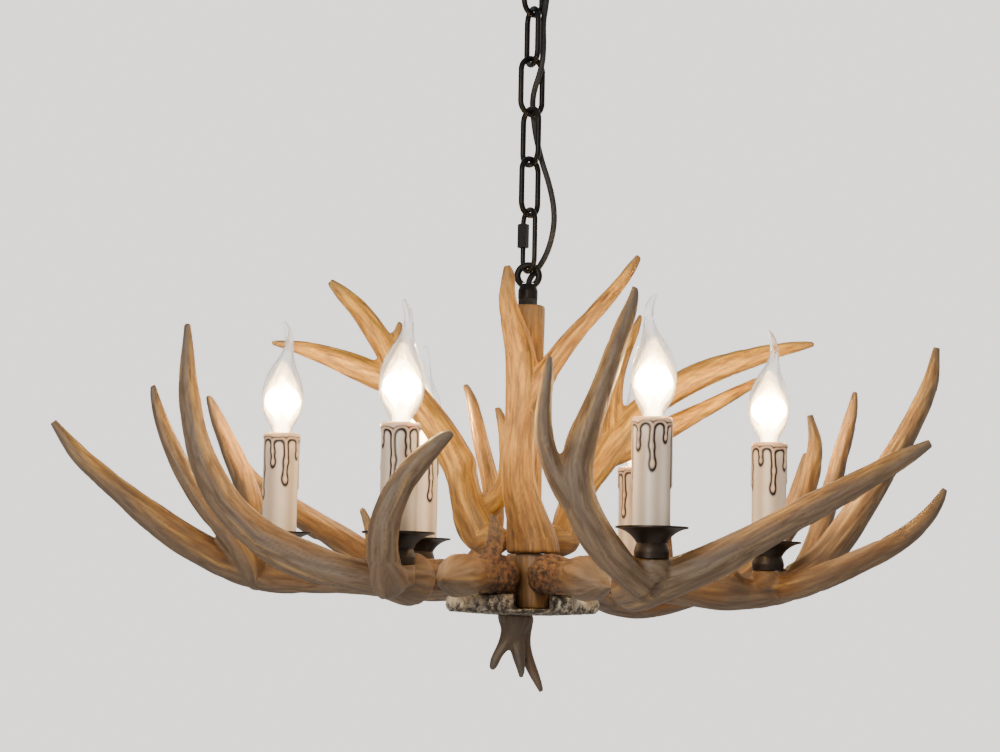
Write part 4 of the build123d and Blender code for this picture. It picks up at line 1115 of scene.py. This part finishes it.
def lay_cord():
    line = cord_line()
    steps = [(b - a).length for a, b in zip(line, line[1:])]
    print("cord line", round(sum(steps), 4), "m in", len(line), "points")
    heights = [1.0, *[cut / 1000 - HUB_DROP for cut in CORD_CUTS], -1.0]
    rubber = sheath()
    for i, (above, below) in enumerate(zip(heights, heights[1:])):
        part = cut_line(line, above, below) if i else [line[0], *cut_line(line, above, below)]
        if i == len(CORD_CUTS):
            part.append(line[-1])
        stretch = tube(f"cord_stretch_{i + 1}", part, CORD_RADIUS)
        stretch.data.materials.append(rubber)
        hinge = next(j for j in frame["joints"] if j["child"] == CHAIN_BODIES[i + 1])
        pivot = hinge["pos_m"][2]
        CHAIN_BODIES[i + 1]
        min(part[0].z, pivot + HINGE_REACH)
        max(part[-1].z, pivot - HINGE_REACH)
        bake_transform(stretch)
        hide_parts(f"cord_{i + 1}")
        length = sum((b - a).length for a, b in zip(part, part[1:]))
        print("stretch", i + 1, round(length, 4), "m")


lay_cord()

# %% [markdown]
# ## The studio
# The photograph has an even, pale, slightly warm background. A pale world light gives the soft
# shade, stronger from above than from below. Where it is looked at directly it is brighter than the
# light it gives, as a lit wall far behind a lamp is. Two large lamps give the antlers a direction: a
# slightly warm one from the front left, and a weak one from behind. The floor is far below the
# lamp and only shows in views from above.

# %% Light the studio
BACKDROP, HIGH_LIGHT, LOW_LIGHT = 2.5, 0.95, 0.28


class Sky(Finish):
    """The studio's own light, written in the same way as a material."""

    def __init__(self, name):
        self.world = bpy.data.worlds.new(name)
        self.world.use_nodes = True
        self.tree = self.world.node_tree
        self.tree.nodes.clear()

    def shine(self, colour, strength):
        light = self.add("ShaderNodeBackground", None, {"Color": colour, "Strength": strength})
        end = self.tree.nodes.new("ShaderNodeOutputWorld")
        self.tree.links.new(light.socket, end.inputs["Surface"])
        bpy.context.scene.world = self.world


sky = Sky("studio")
upness = sky.height(sky.add("ShaderNodeTexCoord", output="Generated"))
seen = sky.add("ShaderNodeLightPath", output="Is Camera Ray")
through = sky.add("ShaderNodeLightPath", output="Is Transmission Ray")
room = LOW_LIGHT + (HIGH_LIGHT - LOW_LIGHT) * upness.between(-0.9, 0.9)
direct = seen.most(through)
sky.shine(shade(219, 216, 213), room + direct * (BACKDROP - room))


def softbox(name, place, size, power, colour):
    light = bpy.data.lights.new(name, "AREA")
    light.energy, light.size, light.color = power, size, colour
    box = bpy.data.objects.new(name, light)
    bpy.context.collection.objects.link(box)
    box.location = place
    box.rotation_euler = (hub - Vector(place)).to_track_quat("-Z", "Y").to_euler()


softbox("front light", (-0.9, -2.3, -0.1), 1.2, 34, (1.0, 0.97, 0.93))
softbox("back light", (1.4, 1.8, 0.2), 1.2, 6, (1.0, 0.98, 0.95))

FLOOR_REACH, FLOOR_HEIGHT = 6, -1.75
corners = [(x * FLOOR_REACH, y * FLOOR_REACH, FLOOR_HEIGHT) for x, y in ((-1, -1), (1, -1), (1, 1), (-1, 1))]
floor_mesh = bpy.data.meshes.new("floor")
floor_mesh.from_pydata(corners, [], [(0, 1, 2, 3)])
floor = put_in_scene("floor", floor_mesh)
floor_finish = Finish("floor")
speckle = floor_finish.clouds(floor_finish.place(), 3.0, 3.0, 0.5)
floor_colour = floor_finish.mix(speckle, shade(214, 211, 208), shade(220, 217, 214))
floor_mesh.materials.append(floor_finish.surface(Base_Color=floor_colour, Roughness=0.8))
print("studio ready")
